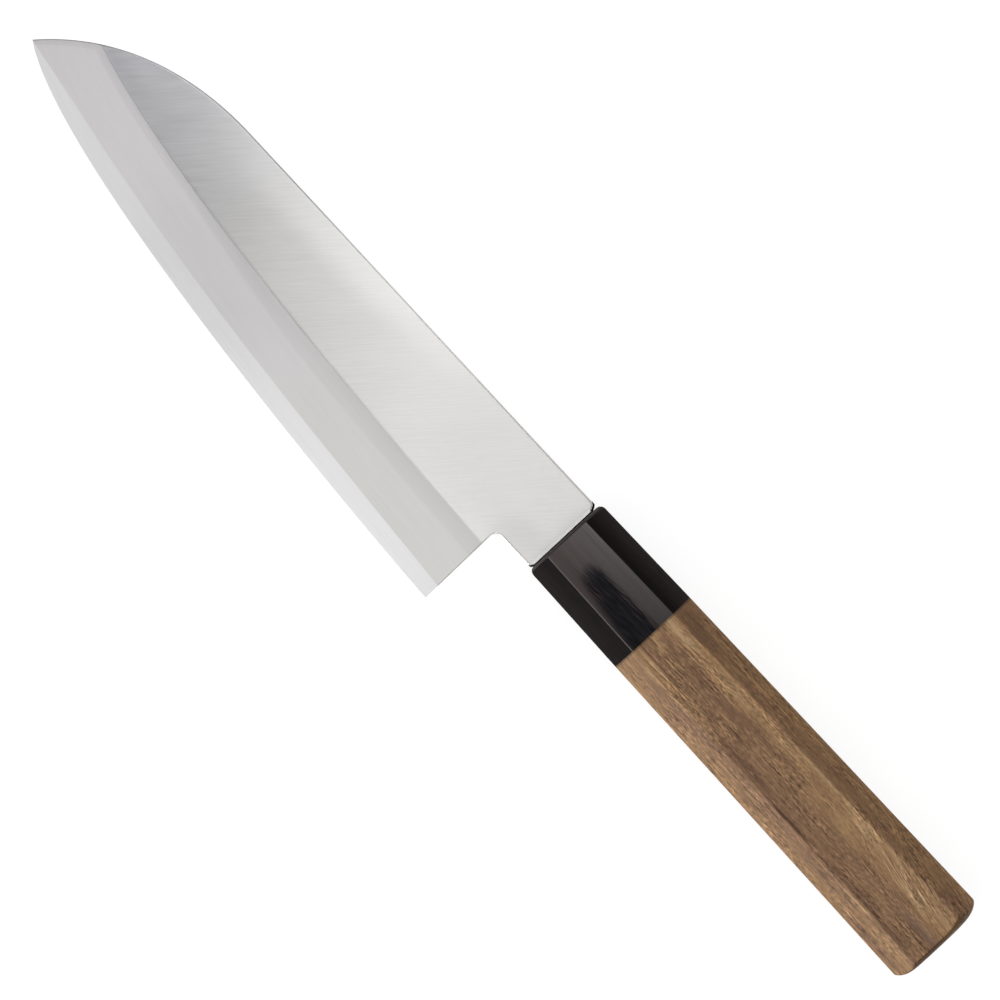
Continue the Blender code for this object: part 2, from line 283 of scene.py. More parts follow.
# Soft light panels: name, place and target to the right of, up from and above the picture's middle,
# width, height and brightness
LIGHT_PANELS = (
    ("left_panel", (-0.36, 0.0, 0.70), (-0.36, 0.0, 0.0), 0.36, 1.20, 0.75),
    ("middle_panel", (0.0, 0.0, 0.70), (0.0, 0.0, 0.0), 0.12, 1.20, 1.41),
    ("right_panel", (0.50, 0.0, 0.70), (0.50, 0.0, 0.0), 0.40, 1.20, 1.77),
    ("side_panel", (-0.65, -0.60, 0.34), (0.0, 0.0, 0.0), 0.50, 0.65, 6.5),
)


def joined(*runs):
    """Several rising runs of shares as one list without repeats."""
    return sorted({round(share, 6) for run in runs for share in run})


def even(count):
    return [step / count for step in range(count + 1)]


class KnifeBladeSizes(bpy.types.PropertyGroup):
    """Sizes of the blade."""

    length: FloatProperty(
        name="Length", description="Blade from tip to heel", default=0.1652, unit="LENGTH")
    height: FloatProperty(
        name="Height", description="Blade from spine to edge at the heel", default=0.0458, unit="LENGTH")
    tip_drop: FloatProperty(
        name="Tip drop", description="How far the tip lies below the spine", default=0.0233, unit="LENGTH")
    tip_round: FloatProperty(
        name="Tip round", description="Length of the rounded back of the tip", default=0.0527, unit="LENGTH")
    neck_length: FloatProperty(
        name="Neck length", description="From the heel to the ferrule", default=0.0124, unit="LENGTH")
    neck_height: FloatProperty(
        name="Neck height", description="Blade height at the ferrule", default=0.0220, unit="LENGTH")
    thickness: FloatProperty(
        name="Thickness", description="Blade thickness at the spine", default=0.0020, unit="LENGTH")
    bevel_heel: FloatProperty(
        name="Bevel at heel", description="Height of the grind at the heel", default=0.0191, unit="LENGTH")
    bevel_tip: FloatProperty(
        name="Bevel at tip", description="Height of the grind at the tip", default=0.0167, unit="LENGTH")
    strip: FloatProperty(
        name="Core strip", description="Widest stretch of bare core along the edge", default=0.0049,
        unit="LENGTH")
    rim: FloatProperty(
        name="Rim", description="Radius of the eased spine, neck and heel", default=0.0002, unit="LENGTH")


class KnifeHandleSizes(bpy.types.PropertyGroup):
    """Sizes of what is eased on the handle and its ferrule, and of the seal's line."""

    ferrule_ease: FloatProperty(
        name="Ferrule easing", description="Width of the softened long edges of the ferrule",
        default=0.00016, unit="LENGTH")
    walnut_ease: FloatProperty(
        name="Walnut easing", description="Width of the softened long edges of the walnut",
        default=0.00035, unit="LENGTH")
    seal_line: FloatProperty(
        name="Seal line", description="Thickness of the black line round the blade's shoulders",
        default=0.00048, unit="LENGTH")


class KnifeColours(bpy.types.PropertyGroup):
    """Colours of the finishes, as linear values."""

    flat_steel: FloatVectorProperty(
        name="Flat", description="Brushed cladding above the grind", subtype="COLOR",
        default=(0.665, 0.657, 0.645), min=0.0, max=1.0)
    # Painted reflection: a cooler, bluer flat towards the tip
    tip_steel_reflection: FloatVectorProperty(
        name="Flat at the tip", description="Cooler cladding towards the tip", subtype="COLOR",
        default=(0.645, 0.640, 0.670), min=0.0, max=1.0)
    ground_steel: FloatVectorProperty(
        name="Grind", description="Ground cladding below the shoulder", subtype="COLOR",
        default=(0.594, 0.583, 0.586), min=0.0, max=1.0)
    # Painted reflection: a cooler grind towards the tip
    tip_ground_reflection: FloatVectorProperty(
        name="Grind at the tip", description="Ground cladding towards the tip", subtype="COLOR",
        default=(0.632, 0.615, 0.626), min=0.0, max=1.0)
    core_steel: FloatVectorProperty(
        name="Core", description="Bare core along the edge", subtype="COLOR",
        default=(0.710, 0.700, 0.708), min=0.0, max=1.0)
    ferrule: FloatVectorProperty(
        name="Ferrule", description="Near-black wood of the ferrule", subtype="COLOR",
        default=(0.010, 0.0080, 0.0078), min=0.0, max=1.0)
    # Painted sheen: the grey of the broad facets stands in for the reflection of the light above
    ferrule_sheen: FloatVectorProperty(
        name="Ferrule, grey", description="Greyer wood of the ferrule's broad facets", subtype="COLOR",
        default=(0.085, 0.072, 0.070), min=0.0, max=1.0)
    walnut_black: FloatVectorProperty(
        name="Walnut, black", description="Pores and darkest streaks of the walnut", subtype="COLOR",
        default=(0.040, 0.021, 0.013), min=0.0, max=1.0)
    walnut_dark: FloatVectorProperty(
        name="Walnut, dark", description="Darker streaks of the walnut", subtype="COLOR",
        default=(0.115, 0.062, 0.0355), min=0.0, max=1.0)
    walnut_middle: FloatVectorProperty(
        name="Walnut, middle", description="Ground tone of the walnut", subtype="COLOR",
        default=(0.190, 0.106, 0.0600), min=0.0, max=1.0)
    walnut_light: FloatVectorProperty(
        name="Walnut, light", description="Golden streaks of the walnut", subtype="COLOR",
        default=(0.290, 0.172, 0.0840), min=0.0, max=1.0)
    walnut_pale: FloatVectorProperty(
        name="Walnut, pale", description="Lightest flecks of the walnut", subtype="COLOR",
        default=(0.430, 0.290, 0.165), min=0.0, max=1.0)


class KnifeStage(bpy.types.PropertyGroup):
    """Camera and light."""

    view_angle: FloatProperty(
        name="View angle", description="Turn of the camera about the vertical", subtype="ANGLE",
        default=math.radians(47.0735))
    view_width: FloatProperty(
        name="View width", description="Width of the picture at the blade", default=0.24426,
        unit="LENGTH")
    camera_distance: FloatProperty(
        name="Camera distance", description="Camera above the blade", default=1.8, unit="LENGTH")
    lights: FloatProperty(
        name="Light panels", description="Brightness of all light panels together", default=1.0)
    surroundings: FloatProperty(
        name="Surroundings", description="Brightness of the room", default=0.30)


def blade_sizes():
    return bpy.context.scene.knife_blade


def handle_sizes():
    return bpy.context.scene.knife_handle


def colours():
    return bpy.context.scene.knife_colours


def knife_origin():
    """Where the knife's own frame lies: ferrule front, middle of the neck, middle of the blade."""
    core_low, core_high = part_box("core_steel")
    ferrule_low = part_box("ferrule")[0]
    return Vector((
        ferrule_low.x, core_high.y - blade_sizes().neck_height / 2, (core_low.z + core_high.z) / 2,
    ))


def bezier(start, start_handle, end_handle, end, t):
    s = 1 - t
    return start * s**3 + start_handle * 3 * s**2 * t + end_handle * 3 * s * t**2 + end * t**3


def height_at(curve, x):
    """Height of a curve that runs steadily along X, at the place x."""
    near, far = 0.0, 1.0
    rising = curve(1.0).x > curve(0.0).x
    for _ in range(BISECTIONS):
        middle = (near + far) / 2
        if (curve(middle).x < x) == rising:
            near = middle
        else:
            far = middle
    return curve((near + far) / 2).y


class BladeShape:
    """The outline of the blade and its thickness at any place, in the knife's own frame."""

    def __init__(self, sizes):
        self.sizes = sizes
        self.spine_y = sizes.neck_height / 2
        self.neck_y = -sizes.neck_height / 2
        self.heel = Vector((-sizes.neck_length, self.spine_y - sizes.height))
        self.tip = Vector((self.heel.x - sizes.length, self.spine_y - sizes.tip_drop))
        self.rear_x = -SEAL_THICKNESS
        self.shoulder_x = self.rear_x - TOP_CORNER
        self.heel_x = self.heel.x - HEEL_LEAN
        self.choil = Vector((self.heel_x + CHOIL_RADIUS, self.neck_y - CHOIL_RADIUS))
        self.half = sizes.thickness / 2
        self.known = {}

    def edge_point(self, t):
        heel_turn = Vector((-math.cos(HEEL_EDGE_ANGLE), math.sin(HEEL_EDGE_ANGLE)))
        tip_turn = Vector((math.cos(TIP_EDGE_ANGLE), -math.sin(TIP_EDGE_ANGLE)))
        heel_handle = self.heel + HEEL_EDGE_HANDLE * heel_turn
        tip_handle = self.tip + TIP_EDGE_HANDLE * tip_turn
        return bezier(self.heel, heel_handle, tip_handle, self.tip, t)

    def back_point(self, t):
        spine_start = Vector((self.tip.x + self.sizes.tip_round, self.spine_y))
        tip_turn = Vector((math.cos(TIP_SPINE_ANGLE), math.sin(TIP_SPINE_ANGLE)))
        tip_handle = self.tip + TIP_SPINE_HANDLE * tip_turn
        return bezier(self.tip, tip_handle, spine_start - Vector((SPINE_HANDLE, 0)), spine_start, t)

    def column(self, x):
        """Heights at one place: edge, core strip, shoulder, neck line, tang low and high, spine."""
        key = round(x, 8)
        if key in self.known:
            return self.known[key]
        along = min(max(x, self.tip.x), self.heel.x)
        edge = height_at(self.edge_point, along)
        from_tip = along - self.tip.x
        strip_width = self.sizes.strip * (1 - math.exp(-from_tip / STRIP_TIP_TAPER))
        strip_width -= STRIP_HEEL_DROP * (from_tip / self.sizes.length) ** STRIP_HEEL_POWER
        strip = edge + strip_width
        spine = self.spine_y
        if x < self.tip.x + self.sizes.tip_round:
            spine = height_at(self.back_point, max(x, self.tip.x))
        elif x > self.shoulder_x:
            spine -= corner_drop(TOP_CORNER, x - self.shoulder_x)
        neck = self.neck_y
        if x < self.choil.x:
            neck -= CHOIL_RADIUS - round_off(CHOIL_RADIUS, self.choil.x - max(x, self.heel_x))
        elif x > self.rear_x - LOW_CORNER:
            neck += corner_drop(LOW_CORNER, x - self.rear_x + LOW_CORNER)
        shoulder = min(edge + self.bevel_height(along), spine)
        marks = [neck, -TANG_ROOT / 2, TANG_ROOT / 2]
        if x < self.heel_x:
            heel_shoulder = self.heel_marks()[2]
            share = (spine - shoulder) / (self.spine_y - heel_shoulder)
            marks = [shoulder + (mark - heel_shoulder) * share for mark in marks]
        self.known[key] = [edge, strip, shoulder, *marks, spine]
        return self.known[key]

    def heel_marks(self):
        """Heights on the heel: edge, core strip, shoulder and the start of the choil."""
        strip = self.heel.y + self.sizes.strip - STRIP_HEEL_DROP
        return self.heel.y, strip, self.heel.y + self.sizes.bevel_heel, self.choil.y

    def bevel_height(self, x):
        along = min(max((self.heel.x - x) / self.sizes.length, 0.0), 1.0)
        return self.sizes.bevel_heel + (self.sizes.bevel_tip - self.sizes.bevel_heel) * along

    def ground_half(self, x, above_edge):
        """Half the thickness that the grind leaves at a height above the edge."""
        share = max(above_edge / self.bevel_height(x), 0.0)
        rise = (1 - HOLLOW_SHARE) * share + HOLLOW_SHARE * share**HOLLOW_POWER
        return EDGE_HALF + (self.half - EDGE_HALF) * rise

    def core_half(self, x):
        edge, strip = self.column(x)[:2]
        return self.ground_half(x, strip - edge)

    def outer_half(self, x, y):
        """Half the blade's thickness, with its soft shoulder but without the eased rim."""
        ground = self.ground_half(x, y - self.column(x)[0])
        softness = self.softness(x)
        mix = min(max(0.5 + 0.5 * (self.half - ground) / softness, 0.0), 1.0)
        return self.half * (1 - mix) + ground * mix - softness * mix * (1 - mix)

    def softness(self, x):
        """The shoulder is softer towards the tip."""
        along = min(max((self.heel.x - x) / self.sizes.length, 0.0), 1.0)
        return SHOULDER_SOFTNESS + TIP_SOFTNESS * along

    def shade_band_width(self, x):
        """How far the painted darker band, a painted reflection, reaches below the shoulder; it narrows
        towards the tip.
        """
        along = (self.heel.x - x) / self.sizes.length
        wide_until, narrow_from = BAND_NARROWING
        share = min(max((narrow_from - along) / (narrow_from - wide_until), 0.0), 1.0)
        return BAND_NARROW + (BAND_WIDE - BAND_NARROW) * share

    def ground_share(self, x, y):
        """1 on the grind and 0 on the flat, with a short blend between them."""
        ground = self.ground_half(x, y - self.column(x)[0])
        share = 0.5 + (self.half - ground) / SHOULDER_SOFTNESS
        return min(max(share, 0.0), 1.0)

    def heel_line(self, y):
        """Place along X of the heel at a height; it leans forward a little towards the choil."""
        share = min(max((y - self.heel.y) / (self.choil.y - self.heel.y), 0.0), 1.0)
        return self.heel.x - HEEL_LEAN * share

    def to_rim(self, x, y):
        """How far a place lies inside the blade's outline, the cutting edge left out."""
        neck, spine = self.column(x)[3], self.column(x)[-1]
        slope = 0.0
        if x < self.shoulder_x - SLOPE_STEP:
            slope = (self.column(x + SLOPE_STEP)[-1] - spine) / SLOPE_STEP
        gaps = [(spine - y) / math.hypot(1, slope)]
        if y < self.choil.y:
            gaps.append(self.heel_line(y) - x)
        elif x < self.choil.x:
            gaps.append(math.hypot(x - self.choil.x, y - self.choil.y) - CHOIL_RADIUS)
        else:
            gaps.append(y - neck)
        for side, radius in ((1, TOP_CORNER), (-1, LOW_CORNER)):
            along = x - self.rear_x + radius
            across = side * y - self.spine_y + radius
            if along > 0 and across > 0:
                gaps = [radius - (along**CORNER_POWER + across**CORNER_POWER) ** (1 / CORNER_POWER)]
        return max(min(gaps), 0.0)

    def eased_half(self, x, y):
        """Half the blade's thickness with the rim eased to a small round."""
        outer = self.outer_half(x, y)
        radius = min(self.sizes.rim, 0.5 * (outer - self.core_half(x)))
        gap = self.to_rim(x, y)
        if radius <= 0 or gap >= radius:
            return outer
        return outer - (radius - round_off(radius, radius - gap))


def corner_drop(radius, out):
    """How far a rear corner of the blade has dropped at a distance out from where it starts."""
    share = min(max(out / radius, 0.0), 1.0)
    return radius - radius * (1 - share**CORNER_POWER) ** (1 / CORNER_POWER)


def round_off(radius, out):
    """Height of a round of that radius at a distance out from its middle."""
    return math.sqrt(max(radius**2 - out**2, 0.0))


def blade_stations(shape):
    """Places of the grid's columns from the tip to the rear, and how many lie before the heel."""
    length = shape.sizes.length
    rim = shape.sizes.rim
    places = [
        shape.tip.x + length * (step / BLADE_COLUMNS) ** TIP_CROWDING for step in range(BLADE_COLUMNS)
    ]
    places += [shape.heel_x - rim * share for share in HEEL_RIM_SHARES]
    places = sorted(place for place in places if place < shape.heel_x)
    heel_column = len(places)
    quarter = [math.radians(90) * share for share in even(CORNER_COLUMNS)]
    places += [shape.choil.x - CHOIL_RADIUS * math.cos(angle) for angle in quarter]
    straight = shape.shoulder_x - shape.choil.x
    places += [shape.choil.x + straight * share for share in even(NECK_COLUMNS)[1:]]
    places += [shape.shoulder_x + TOP_CORNER * math.sin(angle) ** (2 / CORNER_POWER) for angle in quarter[1:]]
    return places, heel_column


def blade_sheet(shape, bands):
    """A grid laid out to the blade's outline, flat on z = 0.

    Each band holds the shares of one stretch of height: edge to core strip, to the shoulder, to the
    neck line, to the tang's lower and upper side, and to the spine. None leaves a band out.
    """
    places, heel_column = blade_stations(shape)
    rows = []
    for band, shares in enumerate(bands):
        if shares is not None:
            rows += [(band, share) for share in shares if share > 0 or not rows]
    bm = bmesh.new()
    columns = len(places) - 1
    bmesh.ops.create_grid(bm, x_segments=columns, y_segments=len(rows) - 1, size=1.0)
    dropped = set()
    for vert in bm.verts:
        i = round((vert.co.x + 1) / 2 * columns)
        j = round((vert.co.y + 1) / 2 * (len(rows) - 1))
        band, share = rows[j]
        marks = shape.column(places[i])
        x = places[i]
        y = marks[band] + (marks[band + 1] - marks[band]) * share
        below_neck = band < 3 and not (band == 2 and share == 1)
        if i == heel_column and below_neck:
            y = heel_height(shape, band, share)
            x = shape.heel_line(y)
        if i > heel_column and below_neck:
            dropped.add(vert)
        vert.co = (x, y, 0)
    bmesh.ops.delete(bm, geom=list(dropped), context="VERTS")
    bmesh.ops.remove_doubles(bm, verts=bm.verts, dist=MERGE_DISTANCE)
    return bm


def heel_height(shape, band, share):
    """Height of a row below the choil on the heel itself."""
    marks = shape.heel_marks()
    return marks[band] + (marks[band + 1] - marks[band]) * share


def slab(bm, upper, lower):
    """Gives a flat sheet its thickness, from its heights upper(x, y) down to lower(x, y)."""
    sheet = list(bm.verts)
    made = bmesh.ops.extrude_face_region(bm, geom=list(bm.faces))
    raised = [item for item in made["geom"] if isinstance(item, bmesh.types.BMVert)]
    for vert in raised:
        vert.co.z = upper(vert.co.x, vert.co.y)
    for vert in sheet:
        vert.co.z = lower(vert.co.x, vert.co.y)
    bmesh.ops.remove_doubles(bm, verts=bm.verts, dist=MERGE_DISTANCE)
    bmesh.ops.dissolve_degenerate(bm, edges=bm.edges, dist=MERGE_DISTANCE)


def grow_tang(bm, shape, tang_end_x):
    """Draws the tang out of the blade's rear wall and tapers it."""
    rear = [
        face for face in bm.faces
        if all(abs(vert.co.x - shape.rear_x) < TOUCH and abs(vert.co.y) < TANG_ROOT / 2 + TOUCH
               for vert in face.verts)
    ]
    made = bmesh.ops.extrude_face_region(bm, geom=rear)
    for item in made["geom"]:
        if isinstance(item, bmesh.types.BMVert):
            item.co.x = tang_end_x
            item.co.y *= TANG_END / TANG_ROOT
    bmesh.ops.delete(bm, geom=[face for face in rear if face.is_valid], context="FACES_ONLY")


def mark_grind(bm, shape):
    """Marks the grind, the rim and the band below the shoulder, which carry painted shade and a painted
    darker band, and stores two maps: along the edge and along the brush lines.
    """
    share = bm.verts.layers.float.new("ground")
    rim = bm.verts.layers.float.new("rim")
    band = bm.verts.layers.float.new("band")
    for vert in bm.verts:
        below = shape.column(vert.co.x)[2] - vert.co.y
        vert[band] = max(1 - max(below, 0.0) / shape.shade_band_width(vert.co.x), 0.0)
        vert[share] = shape.ground_share(vert.co.x, vert.co.y)
        vert[rim] = max(1 - shape.to_rim(vert.co.x, vert.co.y) / RIM_LINE, 0.0)
    along = bm.loops.layers.uv.new("along_edge")
    brushed = bm.loops.layers.uv.new("brushed")
    turn = Matrix.Rotation(-BRUSH_SLANT, 2)
    for face in bm.faces:
        for loop in face.loops:
            place = loop.vert.co
            loop[along].uv = (place.x, place.y - shape.column(place.x)[0])
            loop[brushed].uv = turn @ place.xy


def split_finishes(bm, shape):
    """The first finish for the flat and the second for the grind below its shoulder."""
    for face in bm.faces:
        middle = face.calc_center_median()
        below = middle.y < shape.column(middle.x)[2]
        face.material_index = 1 if below and middle.x < shape.heel.x else 0


def finished(bm, name, node, finishes, origin=Vector((0, 0, 0)), sharp=SHARP_TURN, recalculate=True):
    """One finished piece in its place, standing for a solid of the frame and riding with it."""
    bmesh.ops.translate(bm, vec=origin, verts=bm.verts)
    if recalculate:
        bmesh.ops.recalc_face_normals(bm, faces=bm.faces)
    mesh = bpy.data.meshes.new(name)
    bm.to_mesh(mesh)
    bm.free()
    for finish in finishes:
        mesh.materials.append(finish)
    mesh.shade_smooth()
    mesh.set_sharp_from_angle(angle=math.radians(sharp))
    piece = bpy.data.objects.new(name, mesh)
    bpy.context.scene.collection.objects.link(piece)
    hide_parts(node)
    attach(piece, BODY)
    return piece


class Nodes:
    """Short calls for the nodes of one material or of the room."""

    def __init__(self, tree):
        self.tree = tree

    def node(self, kind, **settings):
        made = self.tree.nodes.new(kind)
        for key, value in settings.items():
            setattr(made, key, value)
        return made

    def put(self, socket, source):
        """Gives a socket a link or a plain value."""
        if isinstance(source, bpy.types.NodeSocket):
            self.tree.links.new(source, socket)
        else:
            socket.default_value = source

    def fed(self, kind, *sources, **settings):
        """The first result of a node whose sockets are filled in their order."""
        made = self.node(kind, **settings)
        for socket, source in zip(made.inputs, sources):
            self.put(socket, source)
        return made.outputs[0]

    def shading(self, kind, **values):
        """A plain shader with values in its named sockets."""
        made = self.node(kind)
        for name, value in values.items():
            made.inputs[name].default_value = value
        return made.outputs[0]

    def math(self, operation, first, second=0.0, third=0.0):
        return self.fed("ShaderNodeMath", first, second, third, operation=operation)

    def mirrored(self, rays):
        """1 for what is seen in gloss or through glass."""
        return self.math("MAXIMUM", rays["Is Glossy Ray"], rays["Is Transmission Ray"])

    def span(self, value, low, high, to_low=0.0, to_high=1.0, smooth=False):
        """A value's range carried over to another range, held at both ends."""
        kind = "SMOOTHSTEP" if smooth else "LINEAR"
        return self.fed(
            "ShaderNodeMapRange", value, low, high, to_low, to_high, interpolation_type=kind)

    def between(self, share, first, second):
        """A number between two others."""
        made = self.node("ShaderNodeMix", data_type="FLOAT")
        self.put(made.inputs["Factor"], share)
        for socket, source in zip(made.inputs[2:4], (first, second)):
            self.put(socket, source)
        return made.outputs[0]

    def axes(self, place):
        """The three parts of a place or a direction."""
        made = self.node("ShaderNodeSeparateXYZ")
        self.put(made.inputs[0], place)
        return made.outputs[0], made.outputs[1], made.outputs[2]


class Finish(Nodes):
    """A material under way, with what these finishes need beyond the plain nodes."""

    def __init__(self, name, roughness, metallic=0.0, specular=0.5):
        self.material = bpy.data.materials.new(name)
        self.material.use_nodes = True
        super().__init__(self.material.node_tree)
        self.shader = self.tree.nodes["Principled BSDF"]
        self.shader.inputs["Metallic"].default_value = metallic
        self.shader.inputs["Roughness"].default_value = roughness
        self.shader.inputs["Specular IOR Level"].default_value = specular
        self.object_place = self.node("ShaderNodeTexCoord").outputs["Object"]

    def wear(self, colour, roughness=None):
        """Gives the shader its colour and, where it varies, its roughness."""
        self.put(self.shader.inputs["Base Color"], colour)
        if roughness is not None:
            self.put(self.shader.inputs["Roughness"], roughness)

    def attribute(self, name):
        return self.node("ShaderNodeAttribute", attribute_name=name).outputs["Fac"]

    def uv(self, name):
        return self.node("ShaderNodeUVMap", uv_map=name).outputs["UV"]

    def point(self, x, y, z):
        return self.fed("ShaderNodeCombineXYZ", x, y, z)

    def brush(self, uv_map):
        """Gloss that spreads across the lines of a brushing, which run along a map's first axis."""
        lines = self.node("ShaderNodeTangent", direction_type="UV_MAP", uv_map=uv_map)
        self.put(self.shader.inputs["Tangent"], lines.outputs["Tangent"])
        self.shader.inputs["Anisotropic"].default_value = STEEL_SPREAD
        self.shader.inputs["Anisotropic Rotation"].default_value = QUARTER_TURN

    def stretched(self, source, size, middle=(0, 0, 0), turn=0.0):
        """Coordinates turned about Z and measured in a pattern's own length, width and depth."""
        return self.fed(
            "ShaderNodeMapping", source, middle, (0, 0, turn), size, vector_type="TEXTURE")

    def noise(self, place, detail=2.0, distortion=0.0):
        made = self.node("ShaderNodeTexNoise")
        self.put(made.inputs["Vector"], place)
        self.put(made.inputs["Scale"], 1.0)
        self.put(made.inputs["Detail"], detail)
        self.put(made.inputs["Distortion"], distortion)
        return made.outputs["Fac"]

    def varied(self, pattern, least, most):
        """A noise carried over to a range of its own."""
        return self.span(pattern, *NOISE_RANGE, least, most)

    def patch(self, place, middle, reach):
        """A soft spot, in millimetres: 1 in its middle and 0 from its reach outwards."""
        ball = self.node("ShaderNodeTexGradient", gradient_type="SPHERICAL")
        middle = [value * MM for value in middle]
        reach = [value * MM for value in reach]
        self.put(ball.inputs["Vector"], self.stretched(place, reach, middle))
        return self.span(ball.outputs["Fac"], 0.0, PATCH_CORE, smooth=True)

    def patches(self, place, *spots):
        """Several soft spots as one."""
        shares = [self.patch(place, middle, reach) for middle, reach in spots]
        share = shares[0]
        for other in shares[1:]:
            share = self.math("MAXIMUM", share, other)
        return share

    def zoned(self, tone, place, zones, depth):
        """A tone raised or lowered by a table of soft spots, whose places and reaches share a depth."""
        for x, y, reach_x, reach_y, amount in zones:
            spot = self.patch(place, (x, y, depth[0]), (reach_x, reach_y, depth[1]))
            tone = self.math("MULTIPLY_ADD", spot, amount, tone)
        return tone

    def product(self, first, *others):
        """Numbers multiplied one after the other."""
        for other in others:
            first = self.math("MULTIPLY", first, other)
        return first

    def less_half(self, pattern):
        """A pattern centred on 0."""
        return self.math("SUBTRACT", pattern, 0.5)

    def blend(self, share, first, second):
        """Two colours blended by a share."""
        made = self.node("ShaderNodeMix", data_type="RGBA")
        self.put(made.inputs["Factor"], share)
        for socket, colour in zip((made.inputs[6], made.inputs[7]), (first, second)):
            self.put(socket, colour if isinstance(colour, bpy.types.NodeSocket) else (*colour, 1.0))
        return made.outputs[2]

    def lighten(self, colour, factor):
        """A colour times a plain factor."""
        made = self.node("ShaderNodeVectorMath", operation="SCALE")
        self.put(made.inputs[0], colour)
        self.put(made.inputs["Scale"], factor)
        return made.outputs["Vector"]

    def tint(self, colour, factors):
        """A colour times a factor for red, green and blue each."""
        return self.fed("ShaderNodeVectorMath", colour, factors, operation="MULTIPLY")

    def ramp(self, value, stops):
        """A colour for every value, from a list of places and colours."""
        made = self.node("ShaderNodeValToRGB")
        elements = made.color_ramp.elements
        while len(elements) < len(stops):
            elements.new(0.5)
        for element, (place, colour) in zip(elements, stops):
            element.position = place
            element.color = (*colour, 1.0)
        self.put(made.inputs["Fac"], value)
        return made.outputs["Color"]

    def bump(self, height, distance):
        made = self.node("ShaderNodeBump")
        self.put(made.inputs["Height"], height)
        made.inputs["Distance"].default_value = distance
        self.put(self.shader.inputs["Normal"], made.outputs["Normal"])


def brush_lines(steel, uv_map, size, breadth):
    """Fine and broad scratches along a map's first axis."""
    place = steel.uv(uv_map)
    fine = steel.noise(steel.stretched(place, (0.6 * size, 0.17 * breadth, 1.0)))
    middle = steel.noise(steel.stretched(place, (size, 0.42 * breadth, 1.0), (1, 2, 3)))
    broad = steel.noise(steel.stretched(place, (2.2 * size, 1.5 * breadth, 1.0)))
    both = steel.math("MULTIPLY_ADD", middle, 0.42, steel.math("MULTIPLY", broad, 0.16))
    return steel.math("MULTIPLY_ADD", fine, 0.42, both)


def clad_finish(name, uv_map, roughness):
    """Cladding: slanting brush lines on the flat, lines along the edge on the grind, painted shade along the
    rim, and painted reflections as patches, a cooler tip and a darker band under the shoulder.
    """
    paint = colours()
    steel = Finish(name, roughness=roughness, metallic=1.0)
    place = steel.object_place
    x, y, _ = steel.axes(place)
    ground = steel.attribute("ground")
    brushed = steel.uv("brushed")
    flat_lines = brush_lines(steel, "brushed", 0.012, 0.0011)
    ground_lines = brush_lines(steel, "along_edge", 0.030, 0.0011)

    cloud = steel.noise(steel.stretched(brushed, (0.060, 0.012, 1.0)), detail=1.0)
    scratches = steel.noise(steel.stretched(brushed, (0.016, 0.00020, 1.0), (5, 5, 5)))
    flat_tone = steel.product(
        steel.span(flat_lines, *LINES_RANGE, 0.94, 1.05), steel.varied(cloud, 0.985, 1.015))
    flat_tone = steel.math("SUBTRACT", flat_tone, steel.span(scratches, 0.66, 0.80, 0.0, 0.10))
    # Painted reflections: lighter and darker patches on the flats
    flat_tone = steel.zoned(flat_tone, place, STEEL_PAINTED_REFLECTIONS, STEEL_DEPTH)
    ground_tone = steel.span(ground_lines, *LINES_RANGE, 0.975, 1.025)

    # Painted reflections: cooler colours towards the tip and a warmer grind towards the heel
    tip_reflection_share = steel.span(x, -145 * MM, -70 * MM, 1.0, 0.0, smooth=True)
    warm_reflection_share = steel.span(x, -70 * MM, -20 * MM, smooth=True)
    flat_colour = steel.blend(tip_reflection_share, paint.flat_steel, paint.tip_steel_reflection)
    ground_colour = steel.blend(tip_reflection_share, paint.ground_steel, paint.tip_ground_reflection)
    ground_colour = steel.blend(warm_reflection_share, ground_colour, steel.tint(ground_colour, (0.995, 1.003, 0.972)))
    colour = steel.blend(
        ground, steel.lighten(flat_colour, flat_tone), steel.lighten(ground_colour, ground_tone))

    # Painted shade along the eased rim: deepest towards the tip and low down, lighter as a painted highlight
    # nearer the heel, and darker along the neck
    rim_shade_and_highlight = steel.product(
        steel.span(x, -88 * MM, -33 * MM, 0.15, 1.10), steel.span(x, -33 * MM, -1 * MM, 1.0, 1.22),
        steel.span(x, 4 * MM, 18 * MM, 1.0, 0.90), steel.span(y, -3.5 * MM, -1.5 * MM, 0.22, 1.0))
    colour = steel.lighten(colour, steel.between(steel.attribute("rim"), 1.0, rim_shade_and_highlight))
    # Painted light: the steel just in front of the ferrule is lightened to cancel the dark reflection of the
    # ferrule in it
    colour = steel.lighten(colour, steel.span(x, 19.9 * MM, 20.6 * MM, 1.0, 1.35))

    # Painted reflection: a darker band just below the shoulder, with a dimmer patch on the grind
    band = steel.product(ground, steel.attribute("band"))
    band_shade = steel.product(
        steel.span(band, 0.04, 0.24, 1.0, 0.93, smooth=True),
        steel.span(band, 0.3, 0.9, 1.0, 0.955, smooth=True))
    dim = steel.patch(place, *DIM_GRIND)
    band_shade = steel.math("MULTIPLY_ADD", steel.product(ground, dim), -0.045, band_shade)
    # Painted reflection: the soft shoulder is darkened, more towards the tip
    shoulder = steel.product(ground, steel.math("SUBTRACT", 1.0, ground))
    shoulder_shade = steel.product(shoulder, steel.math("MULTIPLY_ADD", tip_reflection_share, -0.5, -0.1))
    colour = steel.lighten(colour, steel.math("ADD", band_shade, shoulder_shade))

    lines = steel.between(ground, flat_lines, ground_lines)
    steel.wear(colour, steel.varied(lines, roughness - ROUGHNESS_SWAY, roughness + ROUGHNESS_SWAY))
    steel.brush(uv_map)
    steel.bump(lines, distance=STEEL_RELIEF)
    return steel.material


